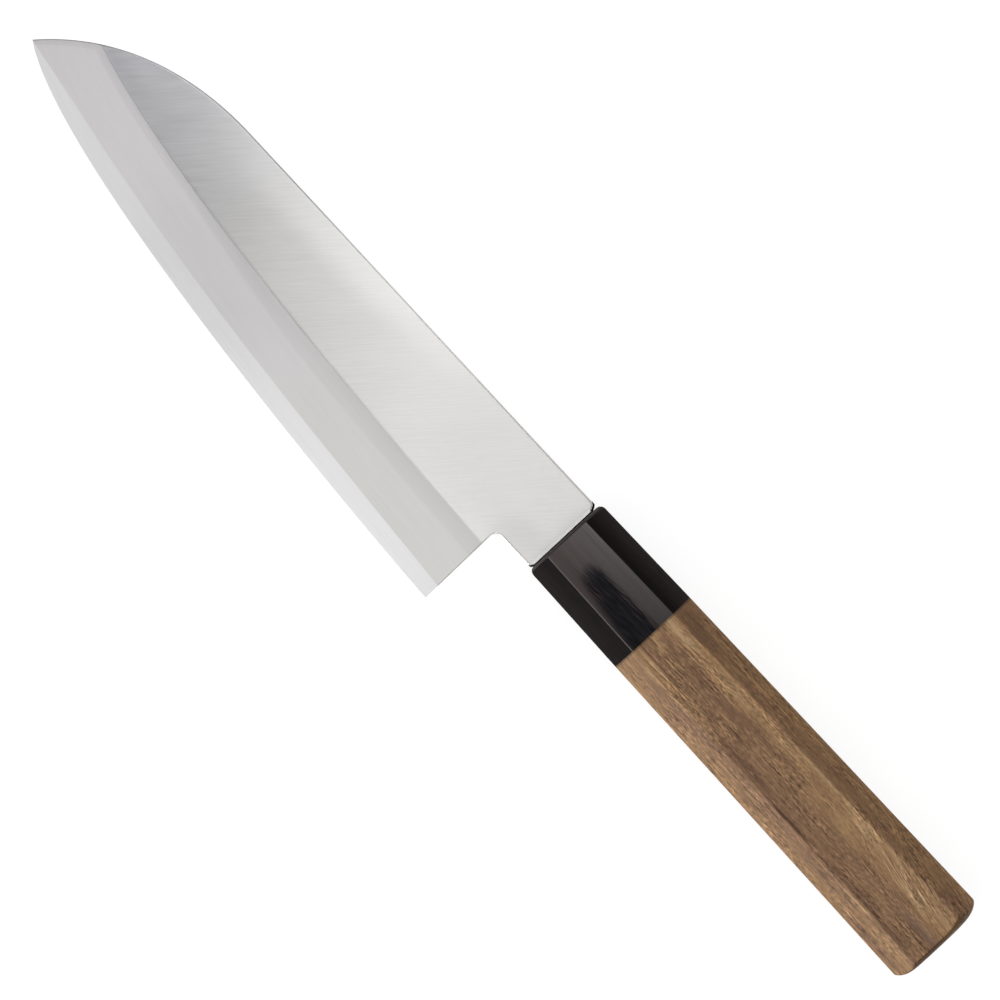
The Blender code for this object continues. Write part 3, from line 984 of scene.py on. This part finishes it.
def core_finish():
    """Bare core: brighter and cooler, finely lined along the edge."""
    steel = Finish("bright_core", roughness=0.36, metallic=1.0)
    x = steel.axes(steel.object_place)[0]
    lines = brush_lines(steel, "along_edge", 0.022, 0.0008)
    tone = steel.product(
        steel.span(lines, *LINES_RANGE, 0.965, 1.025), steel.span(x, -150 * MM, -118 * MM, 1.05, 0.98),
        steel.span(x, -62 * MM, -30 * MM, 1.0, 1.05))
    dim = steel.patch(steel.object_place, *DIM_CORE)
    tone = steel.math("MULTIPLY_ADD", dim, -0.055, tone)
    tone = steel.product(tone, steel.span(x, -15 * MM, 6 * MM, 1.0, 0.97))
    steel.wear(steel.lighten(colours().core_steel, tone), steel.varied(lines, 0.36, 0.42))
    steel.brush("along_edge")
    steel.bump(lines, distance=STEEL_RELIEF)
    return steel.material


def plain_finish(name, tones, grain, relief, detail=3.0, **values):
    """A finish of two tones mixed by one noise, whose grain has a size and a relief."""
    made = Finish(name, **values)
    pattern = made.noise(made.stretched(made.object_place, grain), detail=detail)
    made.wear(made.blend(pattern, *tones))
    made.bump(pattern, distance=relief)
    return made.material


def seal_finish():
    """Black sealing bead, slightly uneven."""
    return plain_finish(
        "black_bead", SEAL_BLACKS, grain=(0.0006, 0.0006, 0.0006), relief=0.03 * MM, roughness=0.6,
        specular=0.1)


def dowel_finish():
    """Pale wood of the peg inside the handle."""
    return plain_finish(
        "pale_dowel", DOWEL_WOODS, grain=(0.020, 0.0006, 0.0006), relief=0.02 * MM, roughness=0.6)


def adhesive_finish():
    """Set resin round the end of the tang."""
    return plain_finish(
        "set_resin", RESINS, grain=(0.004, 0.004, 0.004), relief=0.05 * MM, detail=2.0, roughness=0.3)


def ferrule_finish():
    """Near-black wood with reddish fibres, painted sheen on its broad facets broken by a painted dark
    reflection, painted shading on its slanted facets and painted highlights on its eased edges and front.
    """
    paint = colours()
    wood = Finish("black_wood", roughness=0.42, specular=0.02)
    place = wood.object_place
    x, y, _ = wood.axes(place)
    squarely = wood.attribute("squarely")
    fibres = wood.noise(wood.stretched(place, (0.012, 0.00032, 0.00032)))
    broad = wood.noise(wood.stretched(place, (0.030, 0.0016, 0.0016)))
    hair = wood.noise(wood.stretched(place, (0.005, 0.00040, 0.00040), turn=math.radians(6)))

    # Painted shading of the slanted facets: darker near the broad facets, lighter towards their outer edges
    above = wood.math("SUBTRACT", y, FERRULE_AXIS)
    upper = wood.span(above, 7.6 * MM, 12.0 * MM, 0.6, 2.6)
    lower = wood.product(
        wood.span(above, -7.6 * MM, -10.9 * MM, 0.55, 1.30), wood.span(x, 24 * MM, 46 * MM, 1.0, 0.76))
    streak = wood.varied(fibres, 0.78, 1.22)
    slant_shading = wood.lighten(paint.ferrule, wood.product(wood.math("MAXIMUM", upper, lower), streak))

    # Painted sheen on the broad facets, fading towards the handle and lower down, bluer higher up
    sheen_tone = wood.product(
        wood.span(x, 22 * MM, 52 * MM, 1.36, 0.66), wood.span(y, 7 * MM, 18 * MM, 0.63, 1.0),
        wood.varied(broad, 0.93, 1.07), wood.varied(fibres, 0.93, 1.07))
    grey = wood.lighten(paint.ferrule_sheen, sheen_tone)
    grey = wood.blend(wood.span(y, 10 * MM, 15 * MM), grey, wood.tint(grey, (1.01, 1.07, 1.09)))

    # Painted dark reflection: a ragged black wedge in the painted sheen of the broad facet
    ragged = wood.less_half(hair)
    frayed = wood.math("MULTIPLY_ADD", ragged, 10.0 * MM, x)
    reach = wood.span(frayed, 28.2 * MM, 33.6 * MM, smooth=True)
    over = wood.math("MULTIPLY_ADD", ragged, 3.4 * MM, y)
    top_line = wood.span(x, 31 * MM, 52 * MM, 11.95 * MM, 12.7 * MM)
    below_top = wood.span(wood.math("SUBTRACT", top_line, over), -1.0 * MM, 1.0 * MM, smooth=True)
    under = wood.math("MULTIPLY_ADD", ragged, 1.6 * MM, y)
    low_line = wood.span(x, 29 * MM, 50 * MM, 6.9 * MM, 4.3 * MM)
    above_low = wood.span(wood.math("SUBTRACT", under, low_line), -1.2 * MM, 1.2 * MM, smooth=True)
    dark_reflection = wood.product(reach, wood.product(below_top, above_low))
    black_tone = wood.product(
        wood.varied(hair, 0.60, 1.70), wood.span(y, 4 * MM, 9 * MM, 0.76, 1.0))
    square_face = wood.blend(dark_reflection, grey, wood.lighten(DARK_REFLECTION_BLACK, black_tone))

    colour = wood.blend(wood.span(squarely, 0.98, 0.995), slant_shading, square_face)
    # Painted highlight along the lower eased edges of the broad facets
    eased = wood.product(wood.span(squarely, 0.76, 0.80), wood.span(squarely, 0.995, 0.98))
    edge_highlight = wood.product(eased, wood.span(wood.attribute("lean"), 0.0, -0.2))
    colour = wood.blend(edge_highlight, colour, EDGE_HIGHLIGHT)
    # Painted highlight on the eased front of the ferrule
    front = wood.product(
        wood.span(wood.attribute("end_grain"), -0.1, -0.4), wood.span(x, 21.70 * MM, 21.85 * MM, 1.0, 0.0))
    colour = wood.blend(front, colour, wood.lighten(paint.ferrule_sheen, 0.70))
    red_zone = wood.patches(place, *RED_SPOTS)
    reddish = wood.span(hair, 0.50, 0.70, 0.0, 0.60)
    red_share = wood.product(reddish, wood.math("MULTIPLY_ADD", red_zone, 0.75, 0.10))
    wood.wear(wood.blend(red_share, colour, RED_FIBRES))
    wood.bump(fibres, distance=0.012 * MM)
    return wood.material


def walnut_finish():
    """Oiled walnut: golden and brown zones, fine fibres, curl, dashes, a dark line at the joint, a painted
    shade tint on the facets leaning towards +Y, and a butt darker from its end grain and from painted shade.
    """
    paint = colours()
    wood = Finish("oiled_walnut", roughness=0.55, specular=0.15)
    place = wood.object_place
    x, y, z = wood.axes(place)
    wander = wood.noise(wood.stretched(place, (0.050, 0.014, 0.014)))
    sway = wood.product(wood.less_half(wander), 2.4 * MM)
    bend = wood.product(
        wood.span(x, 116 * MM, 158 * MM, 0.0, 5.5 * MM, smooth=True),
        wood.span(y, 7 * MM, 14 * MM, smooth=True))
    grain = wood.point(x, wood.math("ADD", wood.math("ADD", y, sway), bend), z)

    def figure(length, width, shift, detail=2.0, distortion=0.0):
        size = (length * MM, width * MM, width * MM)
        return wood.noise(wood.stretched(grain, size, shift), detail=detail, distortion=distortion)

    def shaken(pattern, amount):
        """Places pushed up and down by a pattern."""
        return wood.point(x, wood.math("MULTIPLY_ADD", wood.less_half(pattern), amount, y), z)

    streaks = figure(46, 2.6, (0, 0, 0))
    bands = figure(17, 0.9, (1, 2, 3), detail=3.0)
    fibres = figure(7, 0.46, (2, 1, 3), detail=3.0)
    hairs = figure(1.4, 0.40, (3, 3, 1))
    clusters = figure(9, 2.2, (5, 1, 2))
    curl = figure(2.6, 0.42, (4, 2, 1), distortion=0.6)
    lines = figure(14, 0.30, (2, 5, 2), detail=1.0)
    pores = figure(2.2, 0.34, (3, 1, 2), detail=1.0)
    flecks = figure(2.8, 0.34, (1, 3, 5), detail=1.0)
    loose = shaken(bands, 2.2 * MM)

    across = [
        ((height - WALNUT_LOW) / (WALNUT_HIGH - WALNUT_LOW), (tone,) * 3) for height, tone in WALNUT_ACROSS
    ]
    tone = wood.ramp(wood.span(y, WALNUT_LOW * MM, WALNUT_HIGH * MM), across)
    for pattern, amount in ((streaks, 0.26), (bands, 0.30)):
        tone = wood.math("MULTIPLY_ADD", wood.less_half(pattern), amount, tone)
    tone = wood.zoned(tone, loose, WALNUT_ZONES, WALNUT_DEPTH)
    tone = wood.zoned(tone, shaken(fibres, 1.2 * MM), WALNUT_STREAKS, WALNUT_DEPTH)
    for pattern, spots, amount in ((curl, CURL_SPOTS, 1.15), (lines, LINE_SPOTS, 1.1)):
        shown = wood.product(wood.less_half(pattern), wood.patches(loose, *spots))
        tone = wood.math("MULTIPLY_ADD", shown, amount, tone)

    colour = wood.ramp(tone, (
        (0.0, paint.walnut_black), (0.27, paint.walnut_dark), (0.5, paint.walnut_middle),
        (0.75, paint.walnut_light), (1.0, paint.walnut_pale)))
    dusk = wood.patch(loose, *DUSK_SPOT)
    colour = wood.blend(wood.product(dusk, 0.45), colour, WALNUT_DUSK)
    grain_tone = wood.product(
        wood.varied(fibres, 0.66, 1.34), wood.varied(hairs, 0.60, 1.40))
    busy = wood.product(
        wood.span(figure(13, 3.4, (7, 2, 4)), 0.38, 0.62, 0.45, 1.55),
        wood.span(x, 55 * MM, 68 * MM, 0.62, 1.0))
    grain_tone = wood.math("MULTIPLY_ADD", wood.math("SUBTRACT", grain_tone, 1.0), busy, 1.0)
    colour = wood.lighten(colour, grain_tone)
    pore_share = wood.product(
        wood.span(pores, 0.60, 0.74, 0.0, 0.55), wood.span(clusters, 0.35, 0.60, 0.25, 1.0))
    colour = wood.blend(pore_share, colour, paint.walnut_black)
    fleck_share = wood.product(
        wood.span(flecks, 0.60, 0.76, 0.0, 0.5), wood.span(clusters, 0.65, 0.40, 0.2, 1.0))
    colour = wood.blend(fleck_share, colour, paint.walnut_pale)

    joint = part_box("handle_body")[0].x
    at_joint = wood.span(wood.math("SUBTRACT", x, joint), 0.25 * MM, 0.65 * MM, 0.50, 1.0)
    lean = wood.attribute("lean")
    # Painted shade tint: the facets leaning towards +Y are given a warmer, less blue colour
    shaded_slant = wood.span(lean, 0.3, 0.6)
    colour = wood.blend(shaded_slant, colour, wood.tint(colour, (1.02, 1.0, 0.90)))
    # The butt is darker and warmer, partly as the end grain's own colour and partly as painted shade, deepest
    # in the middle where the dome turns from the light
    dome_shade = wood.span(wood.math("ABSOLUTE", lean), 0.25, 0.42, 0.31, 0.62)
    end_share = wood.span(wood.attribute("end_grain"), 0.15, 0.6)
    end_grain_and_shade = wood.tint(wood.lighten(colour, dome_shade), (1.15, 0.94, 0.60))
    colour = wood.lighten(wood.blend(end_share, colour, end_grain_and_shade), at_joint)
    wood.wear(colour, wood.varied(bands, 0.50, 0.62))
    relief = wood.math("SUBTRACT", wood.product(fibres, 0.5), pore_share)
    wood.bump(relief, distance=0.03 * MM)
    return wood.material


def solid_copy(node):
    """A solid of the frame as a merged mesh with whole flat faces, ready to be eased."""
    bm = bmesh.new()
    bm.from_mesh(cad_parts[node].data)
    bmesh.ops.remove_doubles(bm, verts=bm.verts, dist=TOUCH)
    bmesh.ops.dissolve_limit(
        bm, angle_limit=FLAT_TURN, verts=bm.verts, edges=bm.edges, use_dissolve_boundaries=False)
    return bm


def ease(bm, edges, width):
    """Softens edges to a round of a given width."""
    bmesh.ops.bevel(
        bm, geom=edges, offset=width, offset_type="OFFSET", segments=EASE_STEPS, profile=0.5,
        affect="EDGES", material=-1, clamp_overlap=False)


def long_edges(bm, least):
    """The edges between facets, which run the length of the bar."""
    return [
        edge for edge in bm.edges
        if edge.calc_length() > least and edge.calc_face_angle() > FACET_TURN
        and abs((edge.verts[0].co - edge.verts[1].co).normalized().x) > LENGTHWISE
    ]


def narrow_broad_facets(bm, low_x, high_x):
    """Draws the long edges of the two broad facets a little towards the axis between two places."""
    for vert in bm.verts:
        across = vert.co - Vector((0, FERRULE_AXIS, FERRULE_AXIS_Z))
        if low_x <= vert.co.x <= high_x and abs(across.z) > FACET_DEPTH:
            vert.co.y -= math.copysign(FACET_TRIM, across.y)


def reshape_front(bm, front):
    """Rounds the ferrule's front more above and below than beside its broad facets."""
    last_ring = front + FRONT_EASING
    rings = [vert for vert in bm.verts if vert.co.x < last_ring + FRONT_MARGIN]
    outer = [vert.co.copy() for vert in rings if vert.co.x > last_ring - FRONT_MARGIN]
    axis = Vector((0, FERRULE_AXIS, FERRULE_AXIS_Z))
    for vert in rings:
        across = (vert.co - axis).yz
        if across.length < FRONT_HOLE_REACH:
            continue
        corner = min(outer, key=lambda place: abs((place - axis).yz.angle_signed(across)))
        growth = FRONT_GROWTH_HIGH if abs(corner.y - axis.y) > HIGH_CORNER else FRONT_GROWTH_BROAD
        vert.co.x = front + (vert.co.x - front) * growth
        vert.co.y = corner.y + (vert.co.y - corner.y) * growth
        vert.co.z = corner.z + (vert.co.z - corner.z) * growth


def butt_place(place, middle, end):
    """A place carried along the handle onto the rounded butt: flat in the middle, round at the rim."""
    across = abs(place.y - middle.y)
    deep = abs(place.z - middle.z) * BUTT_FLATNESS
    power = BUTT_ROUNDNESS[place.y > middle.y]
    out = (across**power + deep**power) ** (1 / power)
    return Vector((end - BUTT_SINK - BUTT_DROP * (out / BUTT_REACH) ** BUTT_POWER, place.y, place.z))


def round_butt(bm, low, high):
    """Cuts the handle's end off and closes it again with a finely rounded butt."""
    middle = (low + high) / 2
    cut = high.x - BUTT_CUT
    geometry = list(bm.verts) + list(bm.edges) + list(bm.faces)
    bmesh.ops.bisect_plane(
        bm, geom=geometry, dist=TOUCH, plane_co=(cut, 0, 0), plane_no=(1, 0, 0), clear_outer=True)
    rim = [edge for edge in bm.edges if edge.is_boundary]
    corners = {vert for edge in rim for vert in edge.verts}
    slopes = []
    for vert in corners:
        for edge in vert.link_edges:
            other = edge.other_vert(vert)
            if cut - other.co.x > BAR_LEAST:
                slopes.append((vert.co.y, (vert.co.y - other.co.y) / (cut - other.co.x)))
    slopes.sort()
    (low_y, low_slope), (high_y, high_slope) = slopes[0], slopes[-1]
    bmesh.ops.subdivide_edges(bm, edges=rim, cuts=BUTT_RIM_CUTS)
    rim = [edge for edge in bm.edges if edge.is_boundary]
    for vert in {vert for edge in rim for vert in edge.verts}:
        share = (vert.co.y - low_y) / (high_y - low_y)
        slope = low_slope + (high_slope - low_slope) * share
        start_y = vert.co.y
        for _ in range(BUTT_RIM_ROUNDS):
            placed = butt_place(vert.co, middle, high.x)
            vert.co = (placed.x, start_y + slope * (placed.x - cut), placed.z)
    first_rim = list(rim)
    scale_before = 1.0
    for scale in BUTT_RINGS:
        made = bmesh.ops.extrude_edge_only(bm, edges=rim)
        rim = [item for item in made["geom"] if isinstance(item, bmesh.types.BMEdge) and item.is_boundary]
        for vert in {vert for edge in rim for vert in edge.verts}:
            place = middle + (vert.co - middle) * (scale / scale_before)
            vert.co = butt_place(place, middle, high.x)
        scale_before = scale
    bmesh.ops.edgeloop_fill(bm, edges=rim)
    bmesh.ops.recalc_face_normals(bm, faces=bm.faces)
    return [edge for edge in first_rim if edge.is_valid]


def mark_facets(bm):
    """Stores on each face how squarely it lies to the knife's sides, its lean and its end grain."""
    bm.normal_update()
    layers = [bm.faces.layers.float.new(name) for name in ("squarely", "lean", "end_grain")]
    for face in bm.faces:
        for layer, value in zip(layers, (abs(face.normal.z), face.normal.y, face.normal.x)):
            face[layer] = value


def faceted(bm, name, node, finish):
    """A finished piece of the octagon, whose facets shade flat between their eased edges."""
    mark_facets(bm)
    piece = finished(bm, name, node, [finish], sharp=SHARP_FACET_TURN, recalculate=False)
    weighted = piece.modifiers.new("flat_facets", "WEIGHTED_NORMAL")
    weighted.mode = "FACE_AREA"
    weighted.weight = FACET_WEIGHT
    weighted.keep_sharp = True


class KNIFE_OT_core(bpy.types.Operator):
    """Model the hard core with its bare strip along the edge."""

    bl_idname = "knife.core"
    bl_label = "Blade core"

    def execute(self, context):
        shape = BladeShape(blade_sizes())
        bm = blade_sheet(shape, [even(rows) for rows in CORE_ROWS])

        def half(x, y):
            return min(shape.ground_half(x, y - shape.column(x)[0]), shape.core_half(x))

        slab(bm, half, lambda x, y: -half(x, y))
        grow_tang(bm, shape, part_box("core_steel")[1].x - knife_origin().x)
        mark_grind(bm, shape)
        finished(bm, "core", "core_steel", [core_finish()], knife_origin())
        return {"FINISHED"}


class KNIFE_OT_claddings(bpy.types.Operator):
    """Model the two brushed outer layers with their soft shoulders and eased rims."""

    bl_idname = "knife.claddings"
    bl_label = "Claddings"

    def execute(self, context):
        shape = BladeShape(blade_sizes())
        finishes = [
            clad_finish("brushed_flat", "brushed", roughness=0.30),
            clad_finish("ground_bevel", "along_edge", roughness=0.38),
        ]
        high_rim = [1 - share for share in RIM_SHARES]
        grind, flat, neck, tang, back = [even(rows) for rows in CLAD_ROWS]
        bands = [
            None, joined(grind, SHOULDER_SHARES, high_rim), joined(flat, FLAT_SHARES),
            joined(neck, RIM_SHARES), tang, joined(back, high_rim),
        ]
        for side, node in ((1, "cladding_left"), (-1, "cladding_right")):
            bm = blade_sheet(shape, bands)
            slab(bm, shape.eased_half, lambda x, y: shape.core_half(x))
            grow_tang(bm, shape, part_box(node)[1].x - knife_origin().x)
            mark_grind(bm, shape)
            split_finishes(bm, shape)
            bmesh.ops.scale(bm, vec=(1, 1, side), verts=bm.verts)
            finished(bm, f"{node}_skin", node, finishes, knife_origin())
        return {"FINISHED"}


class KNIFE_OT_seal(bpy.types.Operator):
    """Model the black bead round the blade's rear shoulders."""

    bl_idname = "knife.seal"
    bl_label = "Seal"

    def execute(self, context):
        path = self.path(BladeShape(blade_sizes()))
        bm = bmesh.new()

        def nearest(vert):
            return min(path, key=lambda entry: (entry[0] - vert.co).length)

        def spot(vert):
            return round(vert.co.x, PLACE_DIGITS), round(vert.co.y, PLACE_DIGITS)

        verts = [bm.verts.new(point) for point, _, _ in path]
        edges = [bm.edges.new(pair) for pair in zip(verts, verts[1:])]
        made = bmesh.ops.extrude_edge_only(bm, edges=edges)
        line = handle_sizes().seal_line
        neck_half = blade_sizes().neck_height / 2
        for vert in [item for item in made["geom"] if isinstance(item, bmesh.types.BMVert)]:
            _, outwards, share = nearest(vert)
            vert.co += outwards * (line + (SEAL_THICKNESS - line) * share**2)
            vert.co.y = min(max(vert.co.y, -neck_half), neck_half)
        shares = {spot(vert): nearest(vert)[2] for vert in bm.verts}
        made = bmesh.ops.extrude_face_region(bm, geom=list(bm.faces))
        raised = {item for item in made["geom"] if isinstance(item, bmesh.types.BMVert)}
        low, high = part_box("blade_seal")
        lip = (high.z - low.z) / 2
        half = blade_sizes().thickness / 2
        for vert in bm.verts:
            swelling = LIP_LEAST + (1 - LIP_LEAST) * shares[spot(vert)] ** LIP_POWER
            thick = half + (lip - half) * swelling
            vert.co.z = thick if vert in raised else -thick
        finished(bm, "seal_bead", "blade_seal", [seal_finish()], knife_origin())
        return {"FINISHED"}

    def path(self, shape):
        """The line round the shoulders: places, directions outwards and shares of facing the rear."""
        quarter = [math.radians(90) * share for share in even(SEAL_STEPS)]
        turns = [(1, TOP_CORNER, angle) for angle in quarter]
        turns += [(-1, LOW_CORNER, angle) for angle in reversed(quarter)]
        power = 2 / CORNER_POWER
        path = []
        for side, radius, angle in turns:
            along, across = math.sin(angle), math.cos(angle)
            middle = Vector((shape.rear_x - radius, side * (shape.spine_y - radius), 0))
            place = Vector((along**power, side * across**power, 0))
            outwards = Vector((along ** (2 - power), side * across ** (2 - power), 0)).normalized()
            path.append((middle + radius * place, outwards, along))
        return path


class KNIFE_OT_ferrule(bpy.types.Operator):
    """Narrow, round and ease the dark ferrule."""

    bl_idname = "knife.ferrule"
    bl_label = "Ferrule"

    def execute(self, context):
        bm = solid_copy("ferrule")
        low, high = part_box("ferrule")
        narrow_broad_facets(bm, low.x - MM, high.x + MM)
        reshape_front(bm, low.x)
        ease(bm, long_edges(bm, BAR_LEAST), handle_sizes().ferrule_ease)
        faceted(bm, "ferrule_eased", "ferrule", ferrule_finish())
        return {"FINISHED"}


class KNIFE_OT_handle(bpy.types.Operator):
    """Round the walnut handle's butt and soften its long edges."""

    bl_idname = "knife.handle"
    bl_label = "Walnut handle"

    def execute(self, context):
        bm = solid_copy("handle_body")
        low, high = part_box("handle_body")
        narrow_broad_facets(bm, low.x - MM, low.x + MM)
        crease = round_butt(bm, low, high)
        ease(bm, long_edges(bm, WALNUT_BAR_LEAST) + crease, handle_sizes().walnut_ease)
        faceted(bm, "walnut_body", "handle_body", walnut_finish())
        return {"FINISHED"}


class KNIFE_OT_inner(bpy.types.Operator):
    """Finish the peg and the resin inside the handle, whose solids stay."""

    bl_idname = "knife.inner"
    bl_label = "Inner pieces"

    def execute(self, context):
        for node, finish in (("ferrule_dowel", dowel_finish()), ("tang_adhesive", adhesive_finish())):
            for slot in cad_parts[node].material_slots:
                slot.material = finish
        return {"FINISHED"}


def floor_finish():
    """White floor that shows white to the camera and in gloss, and keeps the knife's soft shadow."""
    made = bpy.data.materials.new("white_floor")
    made.use_nodes = True
    floor = Nodes(made.node_tree)
    floor.tree.nodes.clear()
    lit, shown = [
        floor.shading("ShaderNodeBsdfDiffuse", Color=(grey, grey, grey, 1))
        for grey in (FLOOR_LIT_GREY, FLOOR_SHOWN_GREY)
    ]
    glow, white = [
        floor.shading("ShaderNodeEmission", Color=(1, 1, 1, 1), Strength=strength)
        for strength in (FLOOR_GLOW, 1.0)
    ]
    near = floor.fed("ShaderNodeAddShader", shown, glow)
    distance = floor.node("ShaderNodeVectorMath", operation="LENGTH")
    floor.put(distance.inputs[0], floor.node("ShaderNodeTexCoord").outputs["Object"])
    far = floor.span(distance.outputs["Value"], SHADOW_REACH, 2 * SHADOW_REACH)
    bright = floor.fed("ShaderNodeMixShader", far, near, white)
    rays = floor.node("ShaderNodeLightPath").outputs
    seen = floor.math("MAXIMUM", rays["Is Camera Ray"], floor.mirrored(rays))
    surface = floor.fed("ShaderNodeMixShader", seen, lit, bright)
    floor.put(floor.node("ShaderNodeOutputMaterial").inputs["Surface"], surface)
    return made


def picture_place(right, up, above):
    """A place given to the right of, up from and above the middle of the picture."""
    turn = Matrix.Rotation(bpy.context.scene.knife_stage.view_angle, 4, "Z")
    return knife_origin() + Vector(PICTURE_MIDDLE) + turn @ Vector((right, up, above))


def panel(name, place, target, width, height, brightness):
    """A soft light panel of a given radiance, aimed at a target, its width level in the picture."""
    light = bpy.data.lights.new(name, "AREA")
    light.shape = "RECTANGLE"
    light.size = width
    light.size_y = height
    light.energy = brightness * math.pi * width * height
    lamp = bpy.data.objects.new(name, light)
    facing = (Vector(target) - Vector(place)).to_track_quat("-Z", "Y").to_matrix().to_4x4()
    turn = Matrix.Rotation(bpy.context.scene.knife_stage.view_angle, 4, "Z")
    lamp.matrix_world = Matrix.Translation(picture_place(*place)) @ turn @ facing
    lamp.visible_camera = False
    bpy.context.scene.collection.objects.link(lamp)


class KNIFE_OT_stage(bpy.types.Operator):
    """Set the floor, the room, the light panels and the camera."""

    bl_idname = "knife.stage"
    bl_label = "Stage"

    def execute(self, context):
        stage = context.scene.knife_stage
        self.lay_floor()
        self.light_room(stage.surroundings)
        for name, place, target, width, height, brightness in LIGHT_PANELS:
            panel(name, place, target, width, height, brightness * stage.lights)
        self.set_camera(stage)
        context.scene.view_settings.view_transform = "Standard"
        return {"FINISHED"}

    def lay_floor(self):
        bm = bmesh.new()
        bmesh.ops.create_grid(bm, x_segments=1, y_segments=1, size=FLOOR_HALF_WIDTH)
        bmesh.ops.translate(bm, vec=(0, 0, CAD_BOX[0][2] - FLOOR_GAP), verts=bm.verts)
        mesh = bpy.data.meshes.new("floor")
        bm.to_mesh(mesh)
        bm.free()
        mesh.materials.append(floor_finish())
        floor = bpy.data.objects.new("floor", mesh)
        bpy.context.scene.collection.objects.link(floor)

    def light_room(self, brightness):
        """An even dim room, which gloss sees white round the horizon and the camera all white."""
        world = bpy.data.worlds.new("room")
        world.use_nodes = True
        room = Nodes(world.node_tree)
        sky = room.tree.nodes["Background"].inputs
        sky["Color"].default_value = (1, 1, 1, 1)
        height = room.axes(room.node("ShaderNodeTexCoord").outputs["Generated"])[2]
        seen_in_gloss = room.span(height, WHITE_UP_TO, DIM_FROM, 1.0, brightness)
        rays = room.node("ShaderNodeLightPath").outputs
        strength = room.between(room.mirrored(rays), brightness, seen_in_gloss)
        room.put(sky["Strength"], room.between(rays["Is Camera Ray"], strength, 1.0))
        bpy.context.scene.world = world

    def set_camera(self, stage):
        data = bpy.data.cameras.new("photo_camera")
        data.sensor_width = SENSOR_WIDTH
        data.lens = data.sensor_width * stage.camera_distance / stage.view_width
        data.clip_end = CLIP_END
        camera = bpy.data.objects.new("photo_camera", data)
        camera.location = picture_place(0, 0, stage.camera_distance)
        camera.rotation_euler = (0, 0, stage.view_angle)
        bpy.context.scene.collection.objects.link(camera)
        bpy.context.scene.camera = camera


OPERATORS = (
    KNIFE_OT_core, KNIFE_OT_claddings, KNIFE_OT_seal, KNIFE_OT_ferrule, KNIFE_OT_handle,
    KNIFE_OT_inner, KNIFE_OT_stage,
)


class KNIFE_PT_pieces(bpy.types.Panel):
    """The knife's pieces, in the 3D view's sidebar."""

    bl_idname = "KNIFE_PT_pieces"
    bl_label = "Santoku knife"
    bl_space_type = "VIEW_3D"
    bl_region_type = "UI"
    bl_category = "Santoku"

    def draw(self, context):
        for operator in OPERATORS:
            self.layout.operator(operator.bl_idname)


GROUPS = {
    "knife_blade": KnifeBladeSizes,
    "knife_handle": KnifeHandleSizes,
    "knife_colours": KnifeColours,
    "knife_stage": KnifeStage,
}


def register():
    for name, group in GROUPS.items():
        bpy.utils.register_class(group)
        setattr(bpy.types.Scene, name, PointerProperty(type=group))
    for operator in OPERATORS:
        bpy.utils.register_class(operator)
    bpy.utils.register_class(KNIFE_PT_pieces)


def unregister():
    bpy.utils.unregister_class(KNIFE_PT_pieces)
    for operator in reversed(OPERATORS):
        bpy.utils.unregister_class(operator)
    for name, group in GROUPS.items():
        delattr(bpy.types.Scene, name)
        bpy.utils.unregister_class(group)


def main():
    register()
    for operator in OPERATORS:
        group, name = operator.bl_idname.split(".")
        getattr(getattr(bpy.ops, group), name)()


if __name__ == "__main__":
    main()
